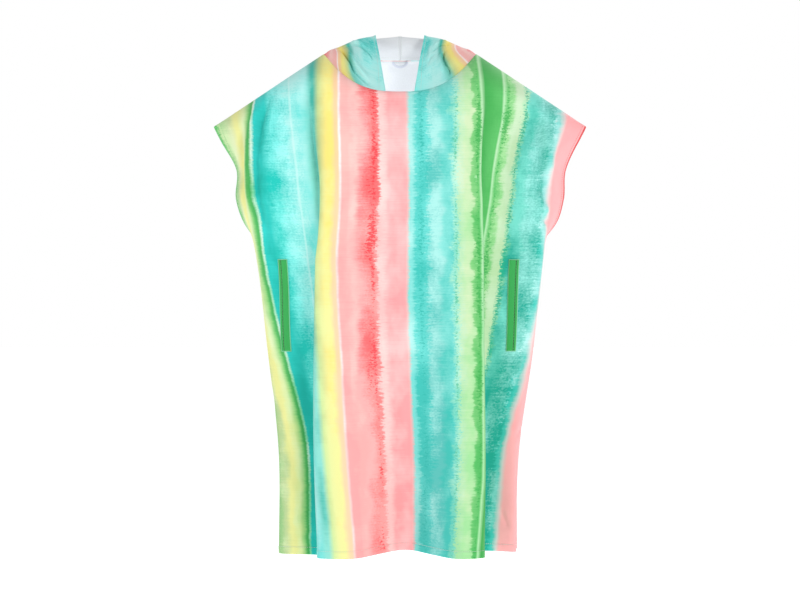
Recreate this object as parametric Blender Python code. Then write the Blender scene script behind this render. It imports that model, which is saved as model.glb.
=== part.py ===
"""A hooded bath poncho, worn with the hood down, as thin cloth walls at real size.

Metres, +Z up. The wearer faces -Y, and +X is the wearer's left. The origin is midway between the two
points where the shoulder seams meet the neckline, because the poncho hangs from the shoulders there.

A panel is worked out level by level. At each level a few places across the cloth are known, by how far
along they are from the panel's left cut edge and where they hang (x, y): the cut edges, the turns round
the wearer's sides, the folds, and the crests between folds. A smooth curve through them is the section.
"""

import math
from collections import namedtuple

import bmesh
import bpy
from mathutils import Vector

# Cloth and seams
CUT_WIDTH = 0.800
WALL = 0.0016
SEAM_GAP = 0.0003

# Neckline and shoulders
NECK_HALF_WIDTH = 0.152
NECK_CURVE = 2.7
SHOULDER_SLOPE = math.radians(33.3)
SHOULDER_ROUND = 0.070
SLEEVE_ROUND = 0.020
SLEEVE_TIP_X = 0.372

# Levels of the grid's rows: a band down from the shoulders, then level rows to the hem
BAND_LEVEL = -0.300
UNDERARM_LEVEL = -0.375
POCKET_TOP = -0.411
POCKET_BOTTOM = -0.590
HEM_LEVEL = -0.990
HEM_RISE_HALF_WIDTH = 0.110
BAND_STEPS = 9
BAND_BIAS = 1.7
POCKET_STEPS = 6
SKIRT_STEPS = 8

# Columns are at most this far apart, measured along the cloth at the level of the pocket's foot
COLUMN_STEP = 0.0200
# Samples by which each stretch of a section is paced evenly
PACE_STEPS = 8
# How far the line below an end of the neck seam is moved, at most, to start exactly at that end
LINE_SHIFT = 0.025
SHIFT_STEPS = 30

# Pocket lips, across from the line that the pocket follows, towards the middle of the front
WIDE_LIP = (-0.0034, 0.0080)
NARROW_LIP = (-0.0084, -0.0048)
LIP_THICKNESS = 0.0018
LIP_GAP = 0.0004

# The hood: where its face edge starts, and the tilt of its wall along the neck seam
FACE_EDGE_X = 0.028
NECK_TILT_FRONT = math.radians(35.0)
NECK_TILT_SIDE = math.radians(50.0)
HOOD_ROWS = 15
HOOD_SHARES = (0.0, 0.25, 0.5, 0.75, 1.0)

# The tape loop inside the back of the neck
LOOP_HALF_WIDTH = 0.014
LOOP_DROP = 0.010
TAPE_WIDTH = 0.005
TAPE_THICKNESS = 0.0012
LOOP_CLEARANCE = 0.0010
LOOP_STEPS = 12

SMOOTH_ANGLE = math.radians(50.0)

Armhole = namedtuple("Armhole", "level x front_y back_y")
Seam = namedtuple("Seam", "level x y")
Turn = namedtuple("Turn", "level x y wrap")
Fold = namedtuple("Fold", "level edge_x open into out into_y out_y")
Crest = namedtuple("Crest", "level y")
Line = namedtuple("Line", "level along")
Neck = namedtuple("Neck", "depth drop")
Panel = namedtuple("Panel", "name outward neck turns folds crests guides hem_rise")
Cloth = namedtuple("Cloth", "points walls alongs")

# The armhole's two edges, which part below the sleeve's tip and meet again at the underarm
ARMHOLES = (
    (
        Armhole(-0.100, -0.398, 0.014, -0.040),
        Armhole(-0.1445, -0.372, 0.000, 0.000),
        Armhole(-0.172, -0.357, -0.009, 0.024),
        Armhole(-0.230, -0.325, -0.012, 0.048),
        Armhole(-0.290, -0.326, -0.006, 0.055),
        Armhole(-0.334, -0.312, 0.008, 0.046),
        Armhole(UNDERARM_LEVEL, -0.284, 0.024, 0.024),
    ),
    (
        Armhole(-0.100, 0.396, 0.014, -0.040),
        Armhole(-0.1445, 0.372, 0.000, 0.000),
        Armhole(-0.172, 0.357, -0.008, 0.024),
        Armhole(-0.190, 0.347, -0.010, 0.034),
        Armhole(-0.230, 0.330, -0.010, 0.048),
        Armhole(-0.290, 0.326, -0.004, 0.055),
        Armhole(-0.334, 0.313, 0.008, 0.046),
        Armhole(UNDERARM_LEVEL, 0.282, 0.020, 0.020),
    ),
)
SIDE_SEAMS = (
    (
        Seam(UNDERARM_LEVEL, -0.284, 0.024),
        Seam(-0.420, -0.262, 0.026),
        Seam(-0.590, -0.238, 0.020),
        Seam(-0.790, -0.226, -0.008),
        Seam(HEM_LEVEL, -0.228, -0.016),
    ),
    (
        Seam(UNDERARM_LEVEL, 0.282, 0.020),
        Seam(-0.420, 0.262, 0.022),
        Seam(-0.590, 0.240, 0.018),
        Seam(-0.790, 0.227, 0.000),
        Seam(HEM_LEVEL, 0.224, -0.006),
    ),
)

# Where each panel turns round the wearer's sides, and how much cloth lies beyond the turn
FRONT_TURNS = (
    (
        Turn(-0.100, -0.300, -0.040, 0.090),
        Turn(-0.146, -0.301, -0.055, 0.090),
        Turn(-0.230, -0.301, -0.082, 0.088),
        Turn(-0.290, -0.299, -0.084, 0.086),
        Turn(-0.334, -0.291, -0.070, 0.085),
        Turn(-0.420, -0.280, -0.052, 0.080),
        Turn(-0.590, -0.262, -0.036, 0.060),
        Turn(-0.790, -0.238, -0.046, 0.040),
        Turn(HEM_LEVEL, -0.238, -0.046, 0.032),
    ),
    (
        Turn(-0.100, 0.330, -0.030, 0.066),
        Turn(-0.146, 0.325, -0.040, 0.066),
        Turn(-0.190, 0.308, -0.058, 0.067),
        Turn(-0.230, 0.298, -0.068, 0.068),
        Turn(-0.334, 0.288, -0.058, 0.070),
        Turn(-0.420, 0.281, -0.045, 0.070),
        Turn(-0.590, 0.263, -0.035, 0.058),
        Turn(-0.790, 0.235, -0.030, 0.032),
        Turn(HEM_LEVEL, 0.230, -0.025, 0.020),
    ),
)
BACK_TURNS = (
    (
        Turn(-0.100, -0.305, 0.046, 0.085),
        Turn(-0.146, -0.302, 0.062, 0.085),
        Turn(-0.230, -0.292, 0.095, 0.070),
        Turn(-0.290, -0.288, 0.098, 0.060),
        Turn(-0.334, -0.284, 0.090, 0.055),
        Turn(-0.420, -0.275, 0.072, 0.050),
        Turn(-0.590, -0.256, 0.065, 0.048),
        Turn(-0.790, -0.239, 0.040, 0.050),
        Turn(HEM_LEVEL, -0.240, 0.035, 0.052),
    ),
    (
        Turn(-0.100, 0.305, 0.046, 0.085),
        Turn(-0.146, 0.302, 0.062, 0.085),
        Turn(-0.230, 0.292, 0.095, 0.070),
        Turn(-0.290, 0.288, 0.098, 0.060),
        Turn(-0.334, 0.284, 0.090, 0.055),
        Turn(-0.420, 0.276, 0.070, 0.050),
        Turn(-0.590, 0.258, 0.062, 0.048),
        Turn(-0.790, 0.238, 0.044, 0.048),
        Turn(HEM_LEVEL, 0.236, 0.038, 0.046),
    ),
)

# Folds: the cloth between into and out is out of sight behind the fold's edge
FRONT_FOLDS = (
    (
        Fold(-0.020, -0.178, 0.016, 0.224, 0.240, -0.088, -0.092),
        Fold(-0.146, -0.178, 0.016, 0.224, 0.240, -0.096, -0.102),
        Fold(-0.270, -0.169, 0.014, 0.222, 0.242, -0.096, -0.108),
        Fold(-0.390, -0.166, 0.006, 0.208, 0.246, -0.086, -0.112),
        Fold(-0.590, -0.166, 0.000, 0.160, 0.238, -0.075, -0.118),
        Fold(-0.790, -0.167, 0.000, 0.116, 0.222, -0.072, -0.122),
        Fold(HEM_LEVEL, -0.160, 0.000, 0.116, 0.203, -0.076, -0.122),
    ),
    (
        Fold(-0.020, 0.162, 0.010, 0.567, 0.577, -0.092, -0.088),
        Fold(-0.100, 0.167, 0.010, 0.567, 0.577, -0.102, -0.094),
        Fold(-0.190, 0.164, 0.008, 0.567, 0.582, -0.108, -0.094),
        Fold(-0.270, 0.161, 0.004, 0.567, 0.589, -0.111, -0.090),
        Fold(-0.390, 0.161, 0.000, 0.567, 0.611, -0.115, -0.078),
        Fold(-0.590, 0.163, 0.000, 0.567, 0.640, -0.120, -0.060),
        Fold(-0.790, 0.165, 0.000, 0.567, 0.687, -0.122, -0.040),
        Fold(HEM_LEVEL, 0.163, 0.000, 0.584, 0.706, -0.118, -0.015),
    ),
)
BACK_FOLDS = (
    (
        Fold(-0.020, -0.125, 0.014, 0.268, 0.282, 0.092, 0.092),
        Fold(-0.146, -0.125, 0.014, 0.268, 0.282, 0.100, 0.104),
        Fold(-0.270, -0.125, 0.008, 0.244, 0.268, 0.104, 0.118),
        Fold(-0.390, -0.124, 0.000, 0.210, 0.253, 0.106, 0.128),
        Fold(-0.590, -0.122, 0.000, 0.190, 0.248, 0.112, 0.138),
        Fold(-0.790, -0.118, 0.000, 0.192, 0.252, 0.114, 0.142),
        Fold(HEM_LEVEL, -0.120, 0.000, 0.198, 0.253, 0.116, 0.144),
    ),
    (
        Fold(-0.020, -0.004, 0.014, 0.389, 0.403, 0.095, 0.095),
        Fold(-0.200, -0.004, 0.014, 0.388, 0.403, 0.106, 0.108),
        Fold(-0.390, -0.004, 0.004, 0.373, 0.408, 0.112, 0.128),
        Fold(-0.590, -0.002, 0.000, 0.370, 0.428, 0.116, 0.140),
        Fold(-0.790, 0.002, 0.000, 0.376, 0.432, 0.118, 0.146),
        Fold(HEM_LEVEL, 0.004, 0.000, 0.380, 0.430, 0.122, 0.148),
    ),
    (
        Fold(-0.020, 0.120, 0.014, 0.513, 0.527, 0.092, 0.092),
        Fold(-0.146, 0.120, 0.014, 0.513, 0.527, 0.104, 0.100),
        Fold(-0.270, 0.119, 0.006, 0.522, 0.550, 0.118, 0.102),
        Fold(-0.390, 0.118, 0.000, 0.534, 0.582, 0.130, 0.106),
        Fold(-0.590, 0.116, 0.000, 0.549, 0.606, 0.138, 0.110),
        Fold(-0.790, 0.112, 0.000, 0.548, 0.604, 0.142, 0.112),
        Fold(HEM_LEVEL, 0.115, 0.000, 0.553, 0.606, 0.142, 0.114),
    ),
)

# How far forward or back the cloth stands between the folds
FRONT_LOBE = (
    Crest(-0.020, -0.100),
    Crest(-0.146, -0.110),
    Crest(-0.270, -0.117),
    Crest(-0.390, -0.119),
    Crest(-0.590, -0.128),
    Crest(-0.790, -0.136),
    Crest(HEM_LEVEL, -0.142),
)
FRONT_FLANK = (
    Crest(-0.020, -0.104),
    Crest(-0.146, -0.116),
    Crest(-0.270, -0.127),
    Crest(-0.390, -0.124),
    Crest(-0.590, -0.120),
    Crest(-0.790, -0.111),
    Crest(HEM_LEVEL, -0.101),
)
FRONT_CENTRE = (
    Crest(-0.020, -0.106),
    Crest(-0.146, -0.118),
    Crest(-0.270, -0.130),
    Crest(-0.390, -0.123),
    Crest(-0.590, -0.110),
    Crest(-0.790, -0.084),
    Crest(HEM_LEVEL, -0.056),
)
BACK_LOBE = (
    Crest(-0.020, 0.095),
    Crest(-0.200, 0.110),
    Crest(-0.390, 0.126),
    Crest(-0.590, 0.136),
    Crest(HEM_LEVEL, 0.142),
)

# Lines down the cloth: the slanted pockets, each from its own side's cut edge, and the lines below the
# ends of the neck seam
POCKET_LINES = (
    (
        Line(BAND_LEVEL, 0.144),
        Line(POCKET_TOP, 0.138),
        Line(POCKET_BOTTOM, 0.104),
        Line(-0.790, 0.084),
        Line(HEM_LEVEL, 0.074),
    ),
    (
        Line(BAND_LEVEL, 0.130),
        Line(POCKET_TOP, 0.1255),
        Line(POCKET_BOTTOM, 0.1045),
        Line(-0.790, 0.070),
        Line(HEM_LEVEL, 0.060),
    ),
)
FRONT_NECK_LINE = (
    Line(0.0, 0.258),
    Line(HEM_LEVEL, 0.258),
)
BACK_NECK_LINE = (
    Line(-0.020, 0.248),
    Line(-0.270, 0.225),
    Line(-0.390, 0.190),
    Line(-0.590, 0.170),
    Line(HEM_LEVEL, 0.175),
)

# Half of the hood as a net of places, from its face edge round to the middle of the back. Below these
# rows is the neck seam. With the hood down, the crown's seam lies behind, from its mouth to its foot.
HOOD_NET = {
    "rise": ((0.039, -0.018, -0.014), (0.088, -0.004, 0.006), (0.143, 0.026, 0.011),
             (0.101, 0.066, 0.020), (0.000, 0.079, 0.026)),
    "ridge": ((0.049, 0.064, 0.047), (0.091, 0.060, 0.038), (0.132, 0.058, 0.018),
              (0.082, 0.090, 0.040), (0.000, 0.096, 0.048)),
    "fall": ((0.042, 0.134, 0.028), (0.098, 0.142, -0.030), (0.138, 0.114, -0.072),
             (0.086, 0.116, -0.070), (0.000, 0.118, -0.060)),
    "crown": ((0.000, 0.168, 0.010), (0.000, 0.188, -0.070), (0.000, 0.182, -0.150),
              (0.000, 0.152, -0.206), (0.000, 0.124, -0.176)),
}

COLOURS = {
    "print": (0.20, 0.78, 0.70, 1.0),
    "hood": (0.38, 0.84, 0.80, 1.0),
    "lip": (0.04, 0.42, 0.09, 1.0),
    "tape": (0.76, 0.80, 0.88, 1.0),
}
CLOTH_ROUGHNESS = 0.85


def lerp(a, b, t):
    """The value a share t of the way from a to b."""
    return a + (b - a) * t


def slope_at(places, values, i):
    """The slope of a smooth curve at one of its known places."""
    if i == 0:
        return (values[1] - values[0]) / (places[1] - places[0])
    if i == len(places) - 1:
        return (values[-1] - values[-2]) / (places[-1] - places[-2])
    before = places[i] - places[i - 1]
    after = places[i + 1] - places[i]
    rate_before = (values[i] - values[i - 1]) / before
    rate_after = (values[i + 1] - values[i]) / after
    return (rate_before * after + rate_after * before) / (before + after)


def smooth(places, values, place):
    """A smooth curve through known values, read at a place and held level beyond its ends."""
    if place <= places[0]:
        return values[0]
    if place >= places[-1]:
        return values[-1]
    i = max(k for k in range(len(places) - 1) if places[k] <= place)
    span = places[i + 1] - places[i]
    t = (place - places[i]) / span
    ease = t * t * (3.0 - 2.0 * t)
    leave = slope_at(places, values, i) * span * t * (1.0 - t) ** 2
    arrive = slope_at(places, values, i + 1) * span * (1.0 - t) * t * t
    return values[i] * (1.0 - ease) + values[i + 1] * ease + leave - arrive


def read(rows, level):
    """One row of a table, worked out smoothly for any level between its rows."""
    places = [-row.level for row in rows]
    return type(rows[0])(*(smooth(places, column, -level) for column in zip(*rows)))


def cut_edge(panel, side, level):
    """The (x, y) of a panel's cut edge: the armhole's edge, and the side seam below the underarm."""
    if level < UNDERARM_LEVEL:
        seam = read(SIDE_SEAMS[side], level)
        return seam.x, seam.y
    armhole = read(ARMHOLES[side], level)
    return armhole.x, armhole.front_y if panel.outward < 0 else armhole.back_y


def fold_knots(panel, fold):
    """Where a fold's cloth goes in, where it turns out of sight, and where it comes out."""
    hidden = fold.out - fold.into
    step = fold.out_y - fold.into_y
    lap = 0.5 * math.sqrt(max(0.0, hidden ** 2 - step ** 2 - fold.open ** 2))
    side = 1.0 if step * panel.outward > 0.0 else -1.0
    middle = ((fold.into + fold.out) / 2, fold.edge_x + side * lap, (fold.into_y + fold.out_y) / 2)
    return [
        (fold.into, fold.edge_x - fold.open / 2, fold.into_y),
        middle,
        (fold.out, fold.edge_x + fold.open / 2, fold.out_y),
    ]


def crest_knots(crests, before, after, level):
    """The places between two folds, spread evenly in x, as deep as their tables say."""
    start_x = before.edge_x + before.open / 2
    end_x = after.edge_x - after.open / 2
    shares = [(along - before.out) / (after.into - before.out) for along, rows in crests]
    return [(along, lerp(start_x, end_x, share), read(rows, level).y)
            for share, (along, rows) in zip(shares, crests)]


def section(panel, level):
    """The known places across a panel at a level, each as (along, x, y)."""
    left = read(panel.turns[0], level)
    right = read(panel.turns[1], level)
    folds = [read(rows, level) for rows in panel.folds]
    knots = [(0.0, *cut_edge(panel, 0, level)), (left.wrap, left.x, left.y)]
    for i, fold in enumerate(folds):
        knots += fold_knots(panel, fold)
        if i + 1 < len(folds):
            knots += crest_knots(panel.crests[i], fold, folds[i + 1], level)
    knots += [(CUT_WIDTH - right.wrap, right.x, right.y), (CUT_WIDTH, *cut_edge(panel, 1, level))]
    return knots


def section_point(knots, along):
    """The (x, y) of the cloth at a distance along its section, evenly paced from one knot to the next."""
    places, xs, ys = zip(*knots)
    i = max([k for k in range(len(places) - 1) if places[k] <= along], default=0)
    spots = [lerp(places[i], places[i + 1], k / PACE_STEPS) for k in range(PACE_STEPS + 1)]
    trail = [Vector((smooth(places, xs, spot), smooth(places, ys, spot))) for spot in spots]
    lengths = [0.0]
    for before, after in zip(trail, trail[1:]):
        lengths.append(lengths[-1] + (after - before).length)
    share = (along - places[i]) / (places[i + 1] - places[i])
    spot = smooth(lengths, spots, share * lengths[-1])
    return smooth(places, xs, spot), smooth(places, ys, spot)


def neckline(panel, x):
    """A point on a panel's neck seam."""
    share = min(1.0, abs(x) / NECK_HALF_WIDTH)
    y = panel.outward * panel.neck.depth * math.sqrt(1.0 - share ** 2)
    return Vector((x, y, -panel.neck.drop * (1.0 - share ** NECK_CURVE)))


def neck_run(panel, x):
    """The direction of the neck seam, which runs straight back at the ends of the shoulder seams."""
    margin = NECK_HALF_WIDTH - abs(x)
    if margin < 1e-6:
        return Vector((0.0, 1.0, 0.0))
    small = min(0.0005, margin / 2)
    return (neckline(panel, x + small) - neckline(panel, x - small)).normalized()


def neck_wall(panel, x):
    """Which way the wall's thickness points at the neck seam: outward and up, square to the seam."""
    sine = max(-1.0, min(1.0, x / NECK_HALF_WIDTH))
    tilt = lerp(NECK_TILT_FRONT, NECK_TILT_SIDE, abs(sine))
    level_part = Vector((sine, panel.outward * math.sqrt(1.0 - sine ** 2), 0.0)) * math.cos(tilt)
    direction = level_part + Vector((0.0, 0.0, math.sin(tilt)))
    run = neck_run(panel, x)
    return (direction - run * direction.dot(run)).normalized()


def top_line(panel, x):
    """The height and depth of a panel's upper edge: its neckline, or the shoulder seam beyond it."""
    if abs(x) < NECK_HALF_WIDTH:
        point = neckline(panel, x)
        return point.z, point.y
    return -(abs(x) - NECK_HALF_WIDTH) * math.tan(SHOULDER_SLOPE), 0.0


def lines_at(panel, level):
    """Distances along the cloth of the lines that the grid's columns follow, at a level."""
    knots = [knot[0] for knot in section(panel, level)]
    return sorted(knots + [read(rows, level).along for rows in panel.guides])


def column_plan(panel):
    """Each column as a pair: the line on its left, and the share of the way to the next line."""
    lines = lines_at(panel, POCKET_BOTTOM)
    plan = []
    for i, (start, end) in enumerate(zip(lines, lines[1:])):
        steps = max(1, math.ceil((end - start) / COLUMN_STEP))
        plan += [(i, k / steps) for k in range(steps)]
    return plan + [(len(lines) - 2, 1.0)]


def column_along(panel, column, level):
    """How far along the cloth a column is at a level."""
    lines = lines_at(panel, level)
    i, share = column
    return lerp(lines[i], lines[i + 1], share)


def column_top(panel, column):
    """The (z, y) where a column starts, on the neckline or the shoulder seam."""
    level = 0.0
    for _ in range(12):
        x, _y = section_point(section(panel, level), column_along(panel, column, level))
        level, depth = top_line(panel, x)
    return level, depth


def cloth_point(panel, along, level, top):
    """A point of a panel, rounded over the shoulders and in to the neckline near its top."""
    x, y = section_point(section(panel, level), along)
    top_level, top_y = top
    outer_share = max(0.0, (abs(x) - NECK_HALF_WIDTH) / (SLEEVE_TIP_X - NECK_HALF_WIDTH))
    radius = lerp(SHOULDER_ROUND, SLEEVE_ROUND, min(1.0, outer_share))
    short = 1.0 - min(top_level - level, radius) / radius
    y = lerp(top_y, y, math.sqrt(max(0.0, 1.0 - short ** 2)))
    return Vector((x, y + panel.outward * SEAM_GAP / 2, level))


def hem_level(panel, x):
    """The hem's level, which rises a little in the middle of the front."""
    share = min(1.0, abs(x) / HEM_RISE_HALF_WIDTH)
    return HEM_LEVEL + panel.hem_rise * (0.5 + 0.5 * math.cos(math.pi * share))


def levels_below(top_level, lowest):
    """The levels of one column's points, from its top down to the hem."""
    band = [lerp(top_level, BAND_LEVEL, (i / BAND_STEPS) ** BAND_BIAS) for i in range(BAND_STEPS)]
    fixed = [BAND_LEVEL, (BAND_LEVEL + UNDERARM_LEVEL) / 2, UNDERARM_LEVEL]
    pocket = [lerp(POCKET_TOP, POCKET_BOTTOM, i / POCKET_STEPS) for i in range(POCKET_STEPS + 1)]
    skirt = [lerp(POCKET_BOTTOM, lowest, (i + 1) / SKIRT_STEPS) for i in range(SKIRT_STEPS)]
    return band + fixed + pocket + skirt


def grid_walls(points, outward):
    """The wall's direction at each point of a grid of points: square to the cloth there."""
    rows, columns = len(points), len(points[0])
    walls = []
    for j in range(rows):
        above, below = points[max(j - 1, 0)], points[min(j + 1, rows - 1)]
        walls.append([])
        for i in range(columns):
            across = points[j][min(i + 1, columns - 1)] - points[j][max(i - 1, 0)]
            walls[j].append(across.cross(above[i] - below[i]).normalized() * outward)
    return walls


def panel_cloth(panel):
    """The points and wall directions of a whole panel."""
    columns = []
    for column in column_plan(panel):
        top = column_top(panel, column)
        foot_x, _y = section_point(section(panel, HEM_LEVEL), column_along(panel, column, HEM_LEVEL))
        levels = levels_below(top[0], hem_level(panel, foot_x))
        alongs = [column_along(panel, column, level) for level in levels]
        columns.append([(cloth_point(panel, along, level, top), along)
                        for along, level in zip(alongs, levels)])
    rows = list(zip(*columns))
    points = [[point for point, _along in row] for row in rows]
    alongs = [[along for _point, along in row] for row in rows]
    walls = grid_walls(points, -panel.outward)
    set_seam_walls(panel, points, walls)
    return Cloth(points, walls, alongs)


def set_seam_walls(panel, points, walls):
    """Turns the wall's direction into the plane of each seam, so that two panels meet edge to edge."""
    shoulder_x, shoulder_z = math.sin(SHOULDER_SLOPE), math.cos(SHOULDER_SLOPE)
    for i, point in enumerate(points[0]):
        if abs(point.x) > NECK_HALF_WIDTH + 1e-5:
            walls[0][i] = Vector((math.copysign(shoulder_x, point.x), 0.0, shoulder_z))
        else:
            walls[0][i] = neck_wall(panel, point.x)
    for j, row in enumerate(points):
        if row[0].z < UNDERARM_LEVEL + 1e-6:
            walls[j][0] = Vector((-1.0, 0.0, 0.0))
            walls[j][-1] = Vector((1.0, 0.0, 0.0))


def walled_mesh(name, points, walls, thickness):
    """A closed wall on a grid of points: half of its thickness on each side of them."""
    rows, columns = len(points), len(points[0])
    bm = bmesh.new()
    bmesh.ops.create_grid(bm, x_segments=columns - 1, y_segments=rows - 1, size=0.5)
    direction = bm.verts.layers.float_vector.new("wall")
    for vert in bm.verts:
        i = round((vert.co.x + 0.5) * (columns - 1))
        j = round((0.5 - vert.co.y) * (rows - 1))
        vert[direction] = walls[j][i]
        vert.co = points[j][i] - walls[j][i] * (thickness / 2)
    made = bmesh.ops.extrude_face_region(bm, geom=bm.faces[:], use_keep_orig=True)
    for vert in (item for item in made["geom"] if isinstance(item, bmesh.types.BMVert)):
        vert.co += vert[direction] * thickness
    bmesh.ops.recalc_face_normals(bm, faces=bm.faces[:])
    mesh = bpy.data.meshes.new(name)
    bm.to_mesh(mesh)
    bm.free()
    mesh.shade_smooth()
    mesh.set_sharp_from_angle(angle=SMOOTH_ANGLE)
    return mesh


def add_piece(name, points, walls, thickness, material, collection):
    """Makes one cloth piece as a named object."""
    mesh = walled_mesh(name, points, walls, thickness)
    mesh.materials.append(material)
    piece = bpy.data.objects.new(name, mesh)
    collection.objects.link(piece)
    return piece


def cloth_material(name, colour):
    """A plain matt cloth."""
    material = bpy.data.materials.new(name)
    material.use_nodes = True
    shader = material.node_tree.nodes["Principled BSDF"]
    shader.inputs["Base Color"].default_value = colour
    shader.inputs["Roughness"].default_value = CLOTH_ROUGHNESS
    shader.inputs["Metallic"].default_value = 0.0
    return material


def pocket_lips(cloth):
    """The two lips of each pocket, laid on the front's own points: (name, points, walls)."""
    lift = WALL / 2 + LIP_GAP + LIP_THICKNESS / 2
    heights = [row[0].z for row in cloth.points]
    rows = [j for j, height in enumerate(heights) if POCKET_BOTTOM - 1e-6 < height < POCKET_TOP + 1e-6]
    for side in ("left", "right"):
        for width, edges in (("wide", WIDE_LIP), ("narrow", NARROW_LIP)):
            first, last = sorted(lip_column(cloth, rows[0], side, edge) for edge in edges)
            points = [[cloth.points[j][i] + cloth.walls[j][i] * lift for i in range(first, last + 1)]
                      for j in rows]
            walls = [[cloth.walls[j][i] for i in range(first, last + 1)] for j in rows]
            yield f"pocket_lip_{side}_{width}", points, walls


def lip_column(cloth, row, side, edge):
    """The column of the front's grid that a lip's edge follows."""
    along = read(POCKET_LINES[side == "right"], POCKET_TOP).along + edge
    if side == "right":
        along = CUT_WIDTH - along
    distances = [abs(place - along) for place in cloth.alongs[row]]
    return distances.index(min(distances))


def hood_stations(sign, cloths, front, back):
    """Where one half's columns meet the neck seam, as on the +X side: (share round the hood, panel, x)."""
    start = math.asin(FACE_EDGE_X / NECK_HALF_WIDTH)
    quarter = math.pi / 2
    stations = [(0.0, front, FACE_EDGE_X)]
    for x in sorted(point.x * sign for point in cloths[front.name].points[0]):
        if FACE_EDGE_X + COLUMN_STEP / 4 < x < NECK_HALF_WIDTH + 1e-5:
            angle = math.asin(min(1.0, x / NECK_HALF_WIDTH))
            stations.append((0.5 * (angle - start) / (quarter - start), front, x))
    for x in sorted((point.x * sign for point in cloths[back.name].points[0]), reverse=True):
        if COLUMN_STEP / 4 < x < NECK_HALF_WIDTH - 1e-5:
            angle = math.asin(x / NECK_HALF_WIDTH)
            stations.append((1.0 - 0.5 * angle / quarter, back, x))
    return stations + [(1.0, back, 0.0)]


def hood_column(share, panel, x):
    """One column of the hood's right half, from the neck seam over the ridge to the crown's seam."""
    wall = neck_wall(panel, x)
    run = neck_run(panel, x)
    up = run.cross(wall)
    if up.z < 0.0:
        up = -up
    knots = [neckline(panel, x) + up * SEAM_GAP]
    for row in HOOD_NET.values():
        knots.append(Vector(tuple(smooth(HOOD_SHARES, axis, share) for axis in zip(*row))))
    lengths = [0.0]
    for before, after in zip(knots, knots[1:]):
        lengths.append(lengths[-1] + (after - before).length)
    columns = list(zip(*knots))
    spots = [lengths[-1] * j / (HOOD_ROWS - 1) for j in range(HOOD_ROWS)]
    return [Vector(tuple(smooth(lengths, axis, spot) for axis in columns)) for spot in spots]


def hood_cloth(stations):
    """The points and wall directions of the hood's right half."""
    columns = [hood_column(*station) for station in stations]
    middle = Vector((SEAM_GAP / 2, 0.0, 0.0))
    points = [[point + middle for point in row] for row in zip(*columns)]
    walls = grid_walls(points, -1.0)
    for i, (_share, panel, x) in enumerate(stations):
        walls[0][i] = neck_wall(panel, x)
        walls[-1][i] = in_middle_plane(walls[-1][i])
    for row in walls[1:]:
        row[-1] = in_middle_plane(row[-1])
    for point, wall in ((point, wall) for pair in zip(points, walls) for point, wall in zip(*pair)):
        point.x = max(point.x, SEAM_GAP / 2 + abs(wall.x) * WALL / 2)
    return points, walls


def in_middle_plane(wall):
    """A wall direction turned into the plane of the hood's middle seam."""
    return Vector((0.0, wall.y, wall.z)).normalized()


def on_side(grid, sign):
    """A grid of points or directions on its own side of the middle."""
    return [[Vector((item.x * sign, item.y, item.z)) for item in row] for row in grid]


def loop_cloth(back):
    """The hanging loop: a flat tape bent down in a U, just inside the back of the neck."""
    lift = WALL / 2 + LOOP_CLEARANCE + TAPE_THICKNESS / 2
    points, walls = [], []
    for offset in (-TAPE_WIDTH / 2, TAPE_WIDTH / 2):
        row = []
        for i in range(LOOP_STEPS + 1):
            angle = math.pi * i / LOOP_STEPS
            x = -(LOOP_HALF_WIDTH - offset) * math.cos(angle)
            drop = (LOOP_DROP - offset) * math.sin(angle) + TAPE_WIDTH / 2
            row.append(neckline(back, x) - Vector((0.0, lift, drop)))
        points.append(row)
        walls.append([Vector((0.0, -1.0, 0.0)) for _ in row])
    return points, walls


def from_neck_end(panel, rows, x):
    """A line down the cloth, moved along it to start exactly where the neck seam ends."""
    knots = section(panel, 0.0)
    low, high = rows[0].along - LINE_SHIFT, rows[0].along + LINE_SHIFT
    for _ in range(SHIFT_STEPS):
        middle = (low + high) / 2
        if section_point(knots, middle)[0] < x:
            low = middle
        else:
            high = middle
    shift = high - rows[0].along
    return tuple(Line(row.level, row.along + shift) for row in rows)


def with_guides(panel, neck_line, other_lines):
    """A panel with the lines that its columns follow, besides its turns, folds and crests."""
    far_line = tuple(Line(row.level, CUT_WIDTH - row.along) for row in neck_line)
    neck_lines = (from_neck_end(panel, neck_line, -NECK_HALF_WIDTH),
                  from_neck_end(panel, far_line, NECK_HALF_WIDTH))
    return panel._replace(guides=neck_lines + tuple(other_lines))


def make_panels():
    """The two panels' patterns."""
    left_pocket, right_pocket = POCKET_LINES
    pocket_guides = []
    for edge in WIDE_LIP + NARROW_LIP:
        pocket_guides.append(tuple(Line(row.level, row.along + edge) for row in left_pocket))
        pocket_guides.append(tuple(Line(row.level, CUT_WIDTH - row.along - edge) for row in right_pocket))
    front_crests = ((0.290, FRONT_LOBE), (0.350, FRONT_FLANK), (0.410, FRONT_CENTRE),
                    (0.470, FRONT_FLANK), (0.530, FRONT_LOBE))
    front = Panel("front_panel", -1.0, Neck(0.090, 0.083), FRONT_TURNS, FRONT_FOLDS, (front_crests,),
                  (), 0.008)
    back_crests = (((0.315, BACK_LOBE),), ((0.475, BACK_LOBE),))
    back = Panel("back_panel", 1.0, Neck(0.075, 0.003), BACK_TURNS, BACK_FOLDS, back_crests, (), 0.0)
    return with_guides(front, FRONT_NECK_LINE, pocket_guides), with_guides(back, BACK_NECK_LINE, ())


def clear_scene():
    """Removes everything that the file opened with."""
    for item in list(bpy.data.objects):
        bpy.data.objects.remove(item, do_unlink=True)


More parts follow.
